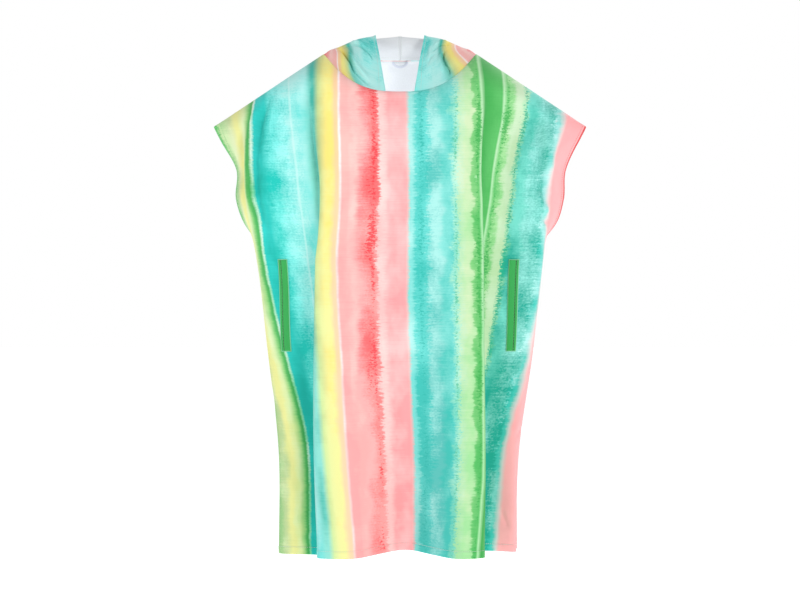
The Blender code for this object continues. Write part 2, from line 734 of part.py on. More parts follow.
def main():
    """Builds the poncho, piece by piece."""
    clear_scene()
    collection = bpy.data.collections.new("hooded_bath_poncho")
    bpy.context.scene.collection.children.link(collection)
    materials = {name: cloth_material(f"poncho_{name}", colour) for name, colour in COLOURS.items()}
    front, back = make_panels()
    cloths = {panel.name: panel_cloth(panel) for panel in (front, back)}
    for name, cloth in cloths.items():
        add_piece(name, cloth.points, cloth.walls, WALL, materials["print"], collection)
    for name, points, walls in pocket_lips(cloths["front_panel"]):
        add_piece(name, points, walls, LIP_THICKNESS, materials["lip"], collection)
    for name, sign in (("hood_left", 1.0), ("hood_right", -1.0)):
        points, walls = hood_cloth(hood_stations(sign, cloths, front, back))
        add_piece(name, on_side(points, sign), on_side(walls, sign), WALL, materials["hood"], collection)
    points, walls = loop_cloth(back)
    add_piece("hanging_loop", points, walls, TAPE_THICKNESS, materials["tape"], collection)


main()
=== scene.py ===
"""Dresses a hooded bath poncho: printed towelling panels, a hood worn down, green pocket lips and its seams.

Metres, +Z up, the front faces -Y. The origin is between the points where the shoulder seams meet the
neckline. Every piece lies on the form of the solid that it stands for, with finer folds, hems and stitches.
"""

from __future__ import annotations

import logging
import math
from dataclasses import dataclass, field
from enum import Enum

import bmesh
import bpy
import numpy as np
from mathutils import Matrix, Vector

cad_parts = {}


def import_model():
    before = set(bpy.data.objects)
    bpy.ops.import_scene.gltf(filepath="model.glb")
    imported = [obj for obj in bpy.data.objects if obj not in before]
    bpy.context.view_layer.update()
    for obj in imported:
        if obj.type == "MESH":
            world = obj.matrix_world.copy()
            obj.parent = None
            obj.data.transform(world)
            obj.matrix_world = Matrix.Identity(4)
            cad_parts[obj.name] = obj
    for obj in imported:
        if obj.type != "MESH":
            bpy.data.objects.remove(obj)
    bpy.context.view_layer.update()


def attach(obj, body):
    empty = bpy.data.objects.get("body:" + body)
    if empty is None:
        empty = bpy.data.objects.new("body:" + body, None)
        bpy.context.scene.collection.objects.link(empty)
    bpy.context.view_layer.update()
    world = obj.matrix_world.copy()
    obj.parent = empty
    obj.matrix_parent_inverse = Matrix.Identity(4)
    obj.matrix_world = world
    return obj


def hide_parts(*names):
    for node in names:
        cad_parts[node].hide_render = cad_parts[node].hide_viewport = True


Array = np.ndarray
Colour = tuple[float, float, float]
Place = tuple[float, float, float]
Setting = object

LOG = logging.getLogger("poncho")

BODY = "root"
CUT_MAP = "cut"

# Cloth and seams
CUT_WIDTH = 0.800
WALL = 0.0016
SEAM_GAP = 0.0003
HEM_TURN = 0.014
SLEEVE_TURN = 0.012
# How gently a turned edge ends, and how far it stands out
TURN_EASE = 0.0016
HEM_BULGE = 0.0007
SLEEVE_BULGE = 0.0006
# The puckers that the hem's stitches draw
PUCKER_HEIGHT = 0.00035
PUCKER_PACE = 620.0
PUCKER_REACH = 0.006

# Neckline and shoulders
NECK_HALF_WIDTH = 0.152
NECK_CURVE = 2.7
SHOULDER_SLOPE = math.radians(33.3)
SHOULDER_ROUND = 0.070
SLEEVE_ROUND = 0.020
SLEEVE_TIP_X = 0.372

# Levels
BAND_LEVEL = -0.300
UNDERARM_LEVEL = -0.375
POCKET_TOP = -0.411
POCKET_BOTTOM = -0.590
HEM_LEVEL = -0.990
HEM_RISE_HALF_WIDTH = 0.110

# How finely a panel is worked out
PACE_STEPS = 12
COLUMN_STEP = 0.0046
LEVEL_STEP = 0.002
TOP_LEVEL = 0.012
BAND_ROWS = 60
BAND_BIAS = 1.45
SKIRT_ROWS = 138
HEM_ROWS = (0.0250, 0.0200, 0.0165, 0.0148, 0.0140, 0.0132, 0.0115, 0.0085, 0.0050, 0.0020, 0.0)
# Passes that find where each column meets the neckline or the shoulder
TOP_PASSES = 30
# Creases die out this far from a panel's sides and from its top
SIDE_QUIET = 0.03
TOP_QUIET = 0.05
# The slow waviness, and how far down it has its full height
WAVE_HEIGHT = 0.0009
WAVE_START = 0.25
# Rows of a panel's grid that stitches go by, and how far below the neck seam they run
NECK_STITCH_ROW = 6
NECK_STITCH_DROP = 0.0045
FIRST_STITCH_ROW = 3
LEVEL_ROW = 100


def linear(red: int, green: int, blue: int) -> Colour:
    """Turns a screen colour of 0 to 255 a channel into the linear values that shaders use."""
    shares = (red / 255.0, green / 255.0, blue / 255.0)
    return tuple(s / 12.92 if s <= 0.04045 else ((s + 0.055) / 1.055) ** 2.4 for s in shares)


def dimmed(colour: Colour, share: float) -> Colour:
    """A colour with only a share of its light."""
    return tuple(share * c for c in colour)


def eased(share: Array) -> Array:
    """A share from 0 to 1 that starts and ends gently."""
    share = np.clip(share, 0.0, 1.0)
    return share * share * (3.0 - 2.0 * share)


def distances(points: Array) -> Array:
    """How far each point of a line is from its first one, along the line."""
    return np.append(0.0, np.cumsum(np.linalg.norm(np.diff(points, axis=0), axis=1)))


def smooth(places: Array, values: Array, wanted: Array) -> Array:
    """Reads a smooth curve through known values.

    Args:
        places: where the values are known, rising, as an array of K.
        values: the known values, K by D.
        wanted: where to read the curve, as an array of N; beyond its ends it stays level.

    Returns:
        The values at the wanted places, N by D.
    """
    spans = np.diff(places)[:, None]
    rates = np.diff(values, axis=0) / spans
    inner = (rates[:-1] * spans[1:] + rates[1:] * spans[:-1]) / (spans[:-1] + spans[1:])
    slopes = np.vstack([rates[:1], inner, rates[-1:]])
    wanted = np.clip(wanted, places[0], places[-1])
    i = np.clip(np.searchsorted(places, wanted, side="right") - 1, 0, len(places) - 2)
    span = spans[i]
    t = (wanted - places[i])[:, None] / span
    ease = t * t * (3.0 - 2.0 * t)
    leave = slopes[i] * span * t * (1.0 - t) ** 2
    arrive = slopes[i + 1] * span * (1.0 - t) * t * t
    return values[i] * (1.0 - ease) + values[i + 1] * ease + leave - arrive


def evenly_paced(knots: Array, alongs: Array) -> Array:
    """Where to read a section so that its cloth is as long between two knots as they say.

    Args:
        knots: the section's known places, each a row of along, x and y.
        alongs: distances along the cloth.

    Returns:
        The places at which the smooth curve through the knots is read for those distances.
    """
    places = knots[:, 0]
    steps = np.arange(PACE_STEPS) / PACE_STEPS
    spots = np.append((places[:-1, None] + np.diff(places)[:, None] * steps).ravel(), places[-1])
    lengths = distances(smooth(places, knots[:, 1:], spots))
    paced = np.interp(lengths, lengths[::PACE_STEPS], places)
    return np.interp(alongs, paced, spots)


def grid_normals(points: Array) -> Array:
    """Unit normals of a grid of points, R by C by 3: across a row, turned towards the rows above.

    Args:
        points: the grid, rows from its top down and columns across it.

    Returns:
        The normals, R by C by 3.
    """
    across = np.empty_like(points)
    across[:, 1:-1] = points[:, 2:] - points[:, :-2]
    across[:, 0] = points[:, 1] - points[:, 0]
    across[:, -1] = points[:, -1] - points[:, -2]
    upward = np.empty_like(points)
    upward[1:-1] = points[:-2] - points[2:]
    upward[0] = points[0] - points[1]
    upward[-1] = points[-2] - points[-1]
    normals = np.cross(across, upward)
    return normals / np.maximum(np.linalg.norm(normals, axis=2, keepdims=True), 1e-12)


@dataclass(frozen=True)
class Track:
    """Values that change smoothly down the cloth: a row is a level and the values there."""

    rows: tuple[tuple[float, ...], ...]

    def read(self, levels: Array) -> Array:
        """The values at each of some levels, one row a level."""
        table = np.array(self.rows)
        return smooth(-table[:, 0], table[:, 1:], -np.asarray(levels))


@dataclass(frozen=True)
class Crease:
    """A soft ridge or trough laid on the cloth along a line of places.

    Places are (along, level) on a panel and (around, up) on the hood. A positive height stands out.
    """

    height: float
    width: float
    places: tuple[tuple[float, float], ...]
    steps: int = 24
    taper: float = 0.28

    def lift(self, chart: Array) -> Array:
        """How far the crease moves the cloth outwards at each place of a chart.

        Args:
            chart: the places of a grid of points, R by C by 2.

        Returns:
            The move at each of them, R by C.
        """
        line = np.array(self.places)
        if len(line) > 2:
            spots = np.linspace(0.0, 1.0, self.steps + 1)
            line = smooth(np.linspace(0.0, 1.0, len(line)), line, spots)
        runs = np.diff(line, axis=0)
        lengths = np.linalg.norm(runs, axis=1)
        starts = np.append(0.0, np.cumsum(lengths))
        nearest = np.full(chart.shape[:2], np.inf)
        share = np.zeros(chart.shape[:2])
        for start, run, length, gone in zip(line, runs, lengths, starts):
            t = np.clip(((chart - start) @ run) / length**2, 0.0, 1.0)
            off = np.linalg.norm(chart - start - t[..., None] * run, axis=2)
            share = np.where(off < nearest, (gone + t * length) / starts[-1], share)
            nearest = np.minimum(nearest, off)
        fade = eased(np.minimum(share, 1.0 - share) / self.taper)
        return self.height * fade * np.exp(-((nearest / self.width) ** 2))


def creased(creases: tuple[Crease, ...], chart: Array) -> Array:
    """How far some creases together move the cloth outwards at each place of a chart."""
    return sum((crease.lift(chart) for crease in creases), np.zeros(chart.shape[:2]))


@dataclass(frozen=True)
class SideEdge:
    """One side of a panel: its armhole edge, its side seam and its turn round the wearer's side."""

    armhole: Track
    seam: Track
    turn: Track

    def cut(self, levels: Array, outward: float) -> Array:
        """The (x, y) of the cut edge at each level.

        Args:
            levels: heights, as an array of L.
            outward: -1 for the front panel, 1 for the back one.

        Returns:
            The places, L by 2.
        """
        armhole = self.armhole.read(levels)[:, [0, 1 if outward < 0 else 2]]
        below = levels[:, None] < UNDERARM_LEVEL
        return np.where(below, self.seam.read(levels), armhole)


@dataclass
class ClothGrid:
    """A worked-out piece of cloth: its points, the outward normals and its chart on the flat cut."""

    points: Array
    normals: Array
    chart: Array


@dataclass
class PanelCut:
    """A body panel: how it is cut, and how it hangs from its left cut edge to its right one."""

    name: str
    outward: float
    neck_depth: float
    neck_drop: float
    sides: tuple[SideEdge, SideEdge]
    folds: tuple[Track, ...]
    crests: tuple[tuple[tuple[float, Track], ...], ...]
    neck_line: float
    far_neck_line: float
    creases: tuple[Crease, ...] = ()
    hem_rise: float = 0.0
    print_shift: float = 0.030
    print_shift_reach: float = 0.100
    guides: tuple[float, ...] = (SLEEVE_TURN, CUT_WIDTH - SLEEVE_TURN)

    def knots(self, levels: Array) -> Array:
        """The known places across the panel, levels by knots by (along, x, y).

        Args:
            levels: heights, as an array of L.

        Returns:
            The knots from the left cut edge to the right one.
        """
        nothing = np.zeros(len(levels))
        left, right = (side.turn.read(levels) for side in self.sides)
        cut_left, cut_right = (side.cut(levels, self.outward) for side in self.sides)
        folds = [fold.read(levels) for fold in self.folds]
        places = [np.column_stack([nothing, cut_left]), left[:, [2, 0, 1]]]
        for i, fold in enumerate(folds):
            places += self.fold_knots(fold)
            if i + 1 < len(folds):
                places += self.crest_knots(self.crests[i], fold, folds[i + 1], levels)
        places.append(np.column_stack([CUT_WIDTH - right[:, 2], right[:, :2]]))
        places.append(np.column_stack([nothing + CUT_WIDTH, cut_right]))
        return np.stack(places, axis=1)

    def fold_knots(self, fold: Array) -> list[Array]:
        """Where a fold's cloth goes in, turns out of sight and comes out.

        Args:
            fold: the fold's track, read at the levels.

        Returns:
            Three places, each L by (along, x, y).
        """
        edge_x, opening, into, out, into_y, out_y = fold.T
        step = out_y - into_y
        lap = 0.5 * np.sqrt(np.maximum(0.0, (out - into) ** 2 - step**2 - opening**2))
        turn_x = edge_x + np.where(step * self.outward > 0.0, lap, -lap)
        return [
            np.column_stack([into, edge_x - opening / 2, into_y]),
            np.column_stack([(into + out) / 2, turn_x, (into_y + out_y) / 2]),
            np.column_stack([out, edge_x + opening / 2, out_y]),
        ]

    @staticmethod
    def crest_knots(crests: tuple, before: Array, after: Array, levels: Array) -> list[Array]:
        """The places between two folds, spread evenly in x, as deep as their tracks say.

        Args:
            crests: each place's distance along the cloth, and the track of its depth.
            before: the fold on the left, read at the levels.
            after: the fold on the right, read at the levels.
            levels: heights, as an array of L.

        Returns:
            For each place, L by (along, x, y).
        """
        start_x = before[:, 0] + before[:, 1] / 2
        end_x = after[:, 0] - after[:, 1] / 2
        knots = []
        for along, track in crests:
            share = (along - before[:, 3]) / (after[:, 2] - before[:, 3])
            x = start_x + (end_x - start_x) * share
            knots.append(np.column_stack([np.full(len(levels), along), x, track.read(levels)[:, 0]]))
        return knots

    def hang(self, levels: Array, alongs: Array) -> Array:
        """Where the cloth hangs.

        Args:
            levels: heights, as an array of L.
            alongs: distances along the cloth at each level, L by C.

        Returns:
            The (x, y) of each place, L by C by 2.
        """
        knots = self.knots(levels)
        rows = [smooth(k[:, 0], k[:, 1:], evenly_paced(k, row)) for k, row in zip(knots, alongs)]
        return np.array(rows)

    def column_alongs(self, levels: Array) -> Array:
        """Each column's distance along the cloth at each level, levels by columns.

        Args:
            levels: heights, as an array of L.

        Returns:
            The distances, closest together where knots are.
        """
        lines = self.lines(levels)
        gaps = np.diff(self.lines(np.array([POCKET_BOTTOM]))[0])
        left, share = [], []
        for i, gap in enumerate(gaps):
            steps = max(1, math.ceil(gap / COLUMN_STEP))
            left += [i] * steps
            share += [k / steps for k in range(steps)]
        left, share = np.array(left + [len(gaps) - 1]), np.array(share + [1.0])
        return lines[:, left] * (1.0 - share) + lines[:, left + 1] * share

    def lines(self, levels: Array) -> Array:
        """The lines down the cloth that columns follow: knots, stitch lines and neck ends.

        Args:
            levels: heights, as an array of L.

        Returns:
            Distances along the cloth, rising, one row a level.
        """
        fixed = np.array((self.neck_line, self.far_neck_line) + self.guides)
        knots = self.knots(levels)[:, :, 0]
        return np.sort(np.hstack([knots, np.tile(fixed, (len(levels), 1))]), axis=1)

    def neckline(self, x: Array) -> Array:
        """Points on the neck seam for each x.

        Args:
            x: places across, within the neckline's half width.

        Returns:
            The points, with (x, y, z) last.
        """
        share = np.minimum(1.0, np.abs(x) / NECK_HALF_WIDTH)
        depth = self.outward * self.neck_depth * np.sqrt(1.0 - share**2)
        return np.stack([x, depth, -self.neck_drop * (1.0 - share**NECK_CURVE)], axis=-1)

    def top_line(self, x: Array) -> tuple[Array, Array]:
        """The height and depth of the upper edge: the neckline, or the shoulder seam beyond it.

        Args:
            x: places across the panel.

        Returns:
            The edge's z and y at each of them.
        """
        neck = self.neckline(np.clip(x, -NECK_HALF_WIDTH, NECK_HALF_WIDTH))
        beyond = np.abs(x) - NECK_HALF_WIDTH
        height = np.where(beyond > 0.0, -beyond * math.tan(SHOULDER_SLOPE), neck[:, 2])
        return height, np.where(beyond > 0.0, 0.0, neck[:, 1])

    def row_levels(self, tops: Array, foot_x: Array) -> Array:
        """The levels of every point, rows by columns: a band that follows the top, then level rows.

        Args:
            tops: the level at which each column starts.
            foot_x: each column's x at the hem.

        Returns:
            The levels, from the top row down to the hem.
        """
        band = ((np.arange(BAND_ROWS) / BAND_ROWS) ** BAND_BIAS)[:, None]
        share = np.minimum(1.0, np.abs(foot_x) / HEM_RISE_HALF_WIDTH)
        foot = HEM_LEVEL + self.hem_rise * (0.5 + 0.5 * np.cos(math.pi * share))
        skirt = (np.arange(SKIRT_ROWS) / SKIRT_ROWS)[:, None]
        hem_start = foot + HEM_ROWS[0]
        return np.vstack([
            tops + (BAND_LEVEL - tops) * band,
            BAND_LEVEL + (hem_start - BAND_LEVEL) * skirt,
            foot + np.array(HEM_ROWS)[:, None],
        ])

    def grid(self) -> ClothGrid:
        """Works out the whole panel, with its creases and its turned hem.

        Returns:
            The panel, with the print's places as its chart.
        """
        levels = np.arange(TOP_LEVEL, HEM_LEVEL - 2 * LEVEL_STEP, -LEVEL_STEP)
        alongs = self.column_alongs(levels)
        table = np.dstack([alongs, self.hang(levels, alongs)])
        columns = np.arange(table.shape[1])

        def at(wanted: Array) -> Array:
            """Reads every column at a level of its own.

            Args:
                wanted: a level for each column.

            Returns:
                Each column's along, x and y there.
            """
            spot = np.clip((TOP_LEVEL - wanted) / LEVEL_STEP, 0.0, len(levels) - 1.001)
            i = spot.astype(int)
            share = (spot - i)[..., None]
            return table[i, columns] * (1.0 - share) + table[i + 1, columns] * share

        tops = np.zeros(len(columns))
        for _ in range(TOP_PASSES):
            tops, top_y = self.top_line(at(tops)[:, 1])
        foot_x = at(np.full(len(columns), HEM_LEVEL))[:, 1]
        heights = self.row_levels(tops, foot_x)
        along, x, y = np.moveaxis(np.array([at(row) for row in heights]), 2, 0)
        outer = np.clip((np.abs(x) - NECK_HALF_WIDTH) / (SLEEVE_TIP_X - NECK_HALF_WIDTH), 0.0, 1.0)
        radius = SHOULDER_ROUND + (SLEEVE_ROUND - SHOULDER_ROUND) * outer
        short = 1.0 - np.minimum(tops - heights, radius) / radius
        y = top_y + (y - top_y) * np.sqrt(np.maximum(0.0, 1.0 - short**2))
        points = np.dstack([x, y + self.outward * SEAM_GAP / 2, heights])
        return self.finished(points, np.dstack([along, -heights]), tops, heights)

    @staticmethod
    def neck_stitch_share(grid: ClothGrid) -> Array:
        """How far down its first rows each column's neck stitch lies, as a share of them.

        Args:
            grid: the worked-out panel.

        Returns:
            A share of at most 1 for each column.
        """
        depth = np.linalg.norm(grid.points[NECK_STITCH_ROW] - grid.points[0], axis=1)
        return np.minimum(1.0, NECK_STITCH_DROP / np.maximum(depth, 1e-6))

    def finished(self, points: Array, chart: Array, tops: Array, heights: Array) -> ClothGrid:
        """Lays the creases, the slight unevenness and the turned hem on the plain form.

        Args:
            points: the plain form, R by C by 3.
            chart: each point's distances along the cloth and down it.
            tops: the level at which each column starts.
            heights: each point's level.

        Returns:
            The finished panel.
        """
        normals = grid_normals(points) * -self.outward
        along, down = chart[..., 0], chart[..., 1]
        from_edge = np.minimum(along, CUT_WIDTH - along)
        quiet = eased(from_edge / SIDE_QUIET) * eased((tops - heights) / TOP_QUIET)
        lift = creased(self.creases, np.dstack([along, -down]))
        lift += self.unevenness(along, down)
        hem = heights - heights[-1]
        turned = HEM_BULGE * eased((HEM_TURN + TURN_EASE / 2 - hem) / TURN_EASE)
        fade = np.exp(-(((hem - HEM_TURN) / PUCKER_REACH) ** 2))
        puckers = PUCKER_HEIGHT * np.sin(along * PUCKER_PACE) * fade
        sleeve = SLEEVE_BULGE * eased((SLEEVE_TURN + TURN_EASE / 2 - from_edge) / TURN_EASE)
        sleeve = sleeve * (heights > UNDERARM_LEVEL)
        points = points + normals * (lift * quiet + turned + puckers + sleeve)[..., None]
        normals = grid_normals(points) * -self.outward
        skirt = np.clip((UNDERARM_LEVEL - heights) / (UNDERARM_LEVEL - HEM_LEVEL), 0.0, 1.0)
        shift = self.print_shift * skirt * np.maximum(0.0, 1.0 - along / self.print_shift_reach)
        return ClothGrid(points, normals, np.dstack([along - shift, down]))

    def unevenness(self, along: Array, down: Array) -> Array:
        """A slight, slow waviness that hanging cloth never loses.

        Args:
            along: distances along the cloth.
            down: distances down it.

        Returns:
            How far each place moves outwards.
        """
        wave = np.sin(along * 23.0 + 1.7 * np.sin(down * 4.1 + self.outward))
        wave = wave + 0.6 * np.sin(along * 51.0 - down * 5.3 + 2.0 * self.outward)
        slow = np.sin(down * 9.0 + along * 7.0 + 0.8)
        return WAVE_HEIGHT * wave * (0.7 + 0.3 * slow) * eased(down / WAVE_START)


def linked(name: str, mesh: bpy.types.Mesh) -> bpy.types.Object:
    """Puts a mesh into the scene as an object at the origin.

    Args:
        name: the object's name.
        mesh: its mesh.

    Returns:
        The object.
    """
    piece = bpy.data.objects.new(name, mesh)
    bpy.context.scene.collection.objects.link(piece)
    return piece


def mesh_of(name: str, bm: bmesh.types.BMesh) -> bpy.types.Mesh:
    """Turns a finished bmesh into a mesh, and frees it.

    Args:
        name: the mesh's name.
        bm: the bmesh, which is of no use afterwards.

    Returns:
        The mesh.
    """
    mesh = bpy.data.meshes.new(name)
    bm.to_mesh(mesh)
    bm.free()
    return mesh


def cloth_object(name: str, grid: ClothGrid, outside: bpy.types.Material,
                 inside: bpy.types.Material | None = None, wall: float = WALL) -> bpy.types.Object:
    """Makes a piece of cloth from its grid, with a wall half on each side of its points.

    Args:
        name: the piece's name.
        grid: its points, normals and chart.
        outside: what its outer face is made of.
        inside: what its inner face is made of, or None for the same.
        wall: its thickness.

    Returns:
        The piece, with its chart in a UV map and a Solidify modifier for its wall.
    """
    rows, columns = grid.points.shape[:2]
    bm = bmesh.new()
    bmesh.ops.create_grid(bm, x_segments=columns - 1, y_segments=rows - 1, size=0.5)
    mesh = mesh_of(name, bm)
    flat = np.empty(len(mesh.vertices) * 3)
    mesh.vertices.foreach_get("co", flat)
    flat = flat.reshape(-1, 3)
    i = np.rint((flat[:, 0] + 0.5) * (columns - 1)).astype(int)
    j = np.rint((0.5 - flat[:, 1]) * (rows - 1)).astype(int)
    mesh.vertices.foreach_set("co", grid.points[j, i].ravel())
    corners = np.empty(len(mesh.loops), dtype=np.int32)
    mesh.loops.foreach_get("vertex_index", corners)
    mesh.uv_layers.new(name=CUT_MAP).uv.foreach_set("vector", grid.chart[j, i][corners].ravel())
    facing = (grid_normals(grid.points) * grid.normals).sum(axis=2).mean()
    if facing < 0.0:
        mesh.flip_normals()
    mesh.shade_smooth()
    mesh.materials.append(outside)
    mesh.materials.append(inside or outside)
    piece = linked(name, mesh)
    solid = piece.modifiers.new("wall", "SOLIDIFY")
    solid.thickness = wall
    solid.offset = 0.0
    solid.material_offset = 1
    return piece


class Wire:
    """A shader socket that can stand in a Python expression."""

    def __init__(self, shader: "Nodes", socket: bpy.types.NodeSocket) -> None:
        """Wraps an output socket of a shader's node."""
        self.shader = shader
        self.socket = socket

    def maths(self, operation: str, *others: "Wire | float") -> "Wire":
        """A Math node on this value and others."""
        inputs = {i: value for i, value in enumerate((self,) + others)}
        return self.shader.node("ShaderNodeMath", {"operation": operation}, inputs)

    def __add__(self, other: "Wire | float") -> "Wire":
        """self + other"""
        return self.maths("ADD", other)

    def __radd__(self, other: float) -> "Wire":
        """other + self"""
        return self.maths("ADD", other)

    def __sub__(self, other: "Wire | float") -> "Wire":
        """self - other"""
        return self.maths("SUBTRACT", other)

    def __rsub__(self, other: float) -> "Wire":
        """other - self"""
        return self.maths("MULTIPLY_ADD", -1.0, other)

    def __mul__(self, other: "Wire | float") -> "Wire":
        """self * other"""
        return self.maths("MULTIPLY", other)

    def __rmul__(self, other: float) -> "Wire":
        """other * self"""
        return self.maths("MULTIPLY", other)

    def __gt__(self, other: "Wire | float") -> "Wire":
        """1 where self is greater than other, else 0"""
        return self.maths("GREATER_THAN", other)

    def clamped(self) -> "Wire":
        """The value held between 0 and 1."""
        return self.maths("MAXIMUM", 0.0).maths("MINIMUM", 1.0)

    def between(self, low: float, high: float) -> "Wire":
        """A gentle rise from 0 at low to 1 at high."""
        settings = {"interpolation_type": "SMOOTHSTEP"}
        return self.shader.node("ShaderNodeMapRange", settings, {0: self, 1: low, 2: high})


class Nodes:
    """A node tree under construction."""

    def __init__(self, tree: bpy.types.NodeTree) -> None:
        """Starts work on a node tree."""
        self.tree = tree

    def node(self, kind: str, settings: dict[str, Setting] | None = None,
             inputs: dict[int | str, Setting] | None = None, output: int | str = 0) -> Wire:
        """Adds a node.

        Args:
            kind: the node's type.
            settings: its properties, and "stops" for a colour ramp's list of (place, colour).
            inputs: values or wires for its sockets, by number or name.
            output: which output socket is wanted.

        Returns:
            The wanted output.
        """
        made = self.tree.nodes.new(kind)
        for key, value in (settings or {}).items():
            if key == "stops":
                self.set_stops(made.color_ramp, value)
            else:
                setattr(made, key, value)
        for key, value in (inputs or {}).items():
            self.feed(made.inputs[key], value)
        return Wire(self, made.outputs[output])

    @staticmethod
    def set_stops(ramp: bpy.types.ColorRamp, stops: list[tuple[float, Colour]]) -> None:
        """Gives a colour ramp its stops.

        Args:
            ramp: the ramp.
            stops: each stop's place and colour, rising.
        """
        while len(ramp.elements) < len(stops):
            ramp.elements.new(0.5)
        for element, (place, colour) in zip(ramp.elements, stops):
            element.position = place
            element.color = (*colour, 1.0)

    def feed(self, socket: bpy.types.NodeSocket, value: Setting) -> None:
        """Links a wire to a socket, or sets its value.

        Args:
            socket: an input of a node.
            value: a wire, or a value of the socket's kind.
        """
        if isinstance(value, Wire):
            self.tree.links.new(value.socket, socket)
        else:
            socket.default_value = value


class Shader(Nodes):
    """A material under construction, with a Principled surface."""

    def __init__(self, name: str) -> None:
        """Starts a material with a bare Principled shader.

        Args:
            name: the material's name.
        """
        self.material = bpy.data.materials.new(name)
        self.material.use_nodes = True
        super().__init__(self.material.node_tree)
        self.surface = self.tree.nodes["Principled BSDF"]

    def mix(self, factor: Wire | float, first: Wire | Colour, second: Wire | Colour,
            blend: str = "MIX") -> Wire:
        """Mixes two colours by a factor.

        Args:
            factor: 0 for the first colour, 1 for the second.
            first: a wire or a colour.
            second: a wire or a colour.
            blend: the node's way of blending.

        Returns:
            The mixed colour.
        """
        values = [(*c, 1.0) if isinstance(c, tuple) else c for c in (first, second)]
        settings = {"data_type": "RGBA", "blend_type": blend}
        return self.node("ShaderNodeMix", settings, {0: factor, 6: values[0], 7: values[1]}, 2)

    def cut_place(self) -> tuple[Wire, Wire]:
        """The place on the flat cut, in metres.

        Returns:
            How far across the cut it is, and how far down.
        """
        chart = self.node("ShaderNodeUVMap", {"uv_map": CUT_MAP})
        return (self.node("ShaderNodeSeparateXYZ", {}, {0: chart}, 0),
                self.node("ShaderNodeSeparateXYZ", {}, {0: chart}, 1))

    def place(self, x: Wire | float, y: Wire | float, z: Wire | float = 0.0) -> Wire:
        """A vector from three values."""
        return self.node("ShaderNodeCombineXYZ", {}, {0: x, 1: y, 2: z})

    def noise(self, vector: Wire, scale: float = 1.0, detail: float = 2.0, roughness: float = 0.5) -> Wire:
        """Noise about 0.5 at a place."""
        inputs = {"Vector": vector, "Scale": scale, "Detail": detail, "Roughness": roughness}
        return self.node("ShaderNodeTexNoise", {"normalize": True}, inputs)

    def bump(self, height: Wire, distance: float, strength: float = 1.0, under: Wire | None = None) -> Wire:
        """A bump from a height, on top of another one if given.

        Args:
            height: the height, whose full range is 0 to 1.
            distance: what 1 stands for, in metres.
            strength: how much of it is used.
            under: the bump below, or None.

        Returns:
            The normal.
        """
        inputs = {"Height": height, "Distance": distance, "Strength": strength}
        if under is not None:
            inputs["Normal"] = under
        return self.node("ShaderNodeBump", {}, inputs)

    def set(self, **values: Setting) -> None:
        """Sets or links the surface's sockets; an underscore stands for a space in their names.

        Args:
            values: a wire, a number or a colour for each socket.
        """
        for key, value in values.items():
            if isinstance(value, tuple) and len(value) == 3:
                value = (*value, 1.0)
            self.feed(self.surface.inputs[key.replace("_", " ")], value)


@dataclass(frozen=True)
class Stripe:
    """One stripe of the print, from its start to the next one's.

    deep and pale are the two tones that the colour runs between, deep more towards the foot and pale towards
    the top: mostly the dye's own, but from 0.2270 to 0.2530 the pale tones are darkened with painted shade
    of the fold. soft is how wide the left edge blends.
    The others say how far, in metres, the dye strays there: in fine sideways streaks, in specks, in
    blots as wide as a thumb, and in slow swells.
    """

    start: float
    deep: Colour
    pale: Colour
    soft: float = 0.003
    streaks: float = 0.0
    specks: float = 0.0
    blots: float = 0.0
    swells: float = 0.0


MID_GREEN = linear(112, 200, 116)
LIGHT_GREEN = linear(184, 220, 170)
PALE_GREEN = linear(204, 230, 196)
MINT = linear(188, 240, 186)
TEAL = linear(44, 208, 200)
PALE_AQUA = linear(196, 244, 241)
PINK = linear(252, 166, 166)
DEEP_CORAL = linear(242, 56, 66)

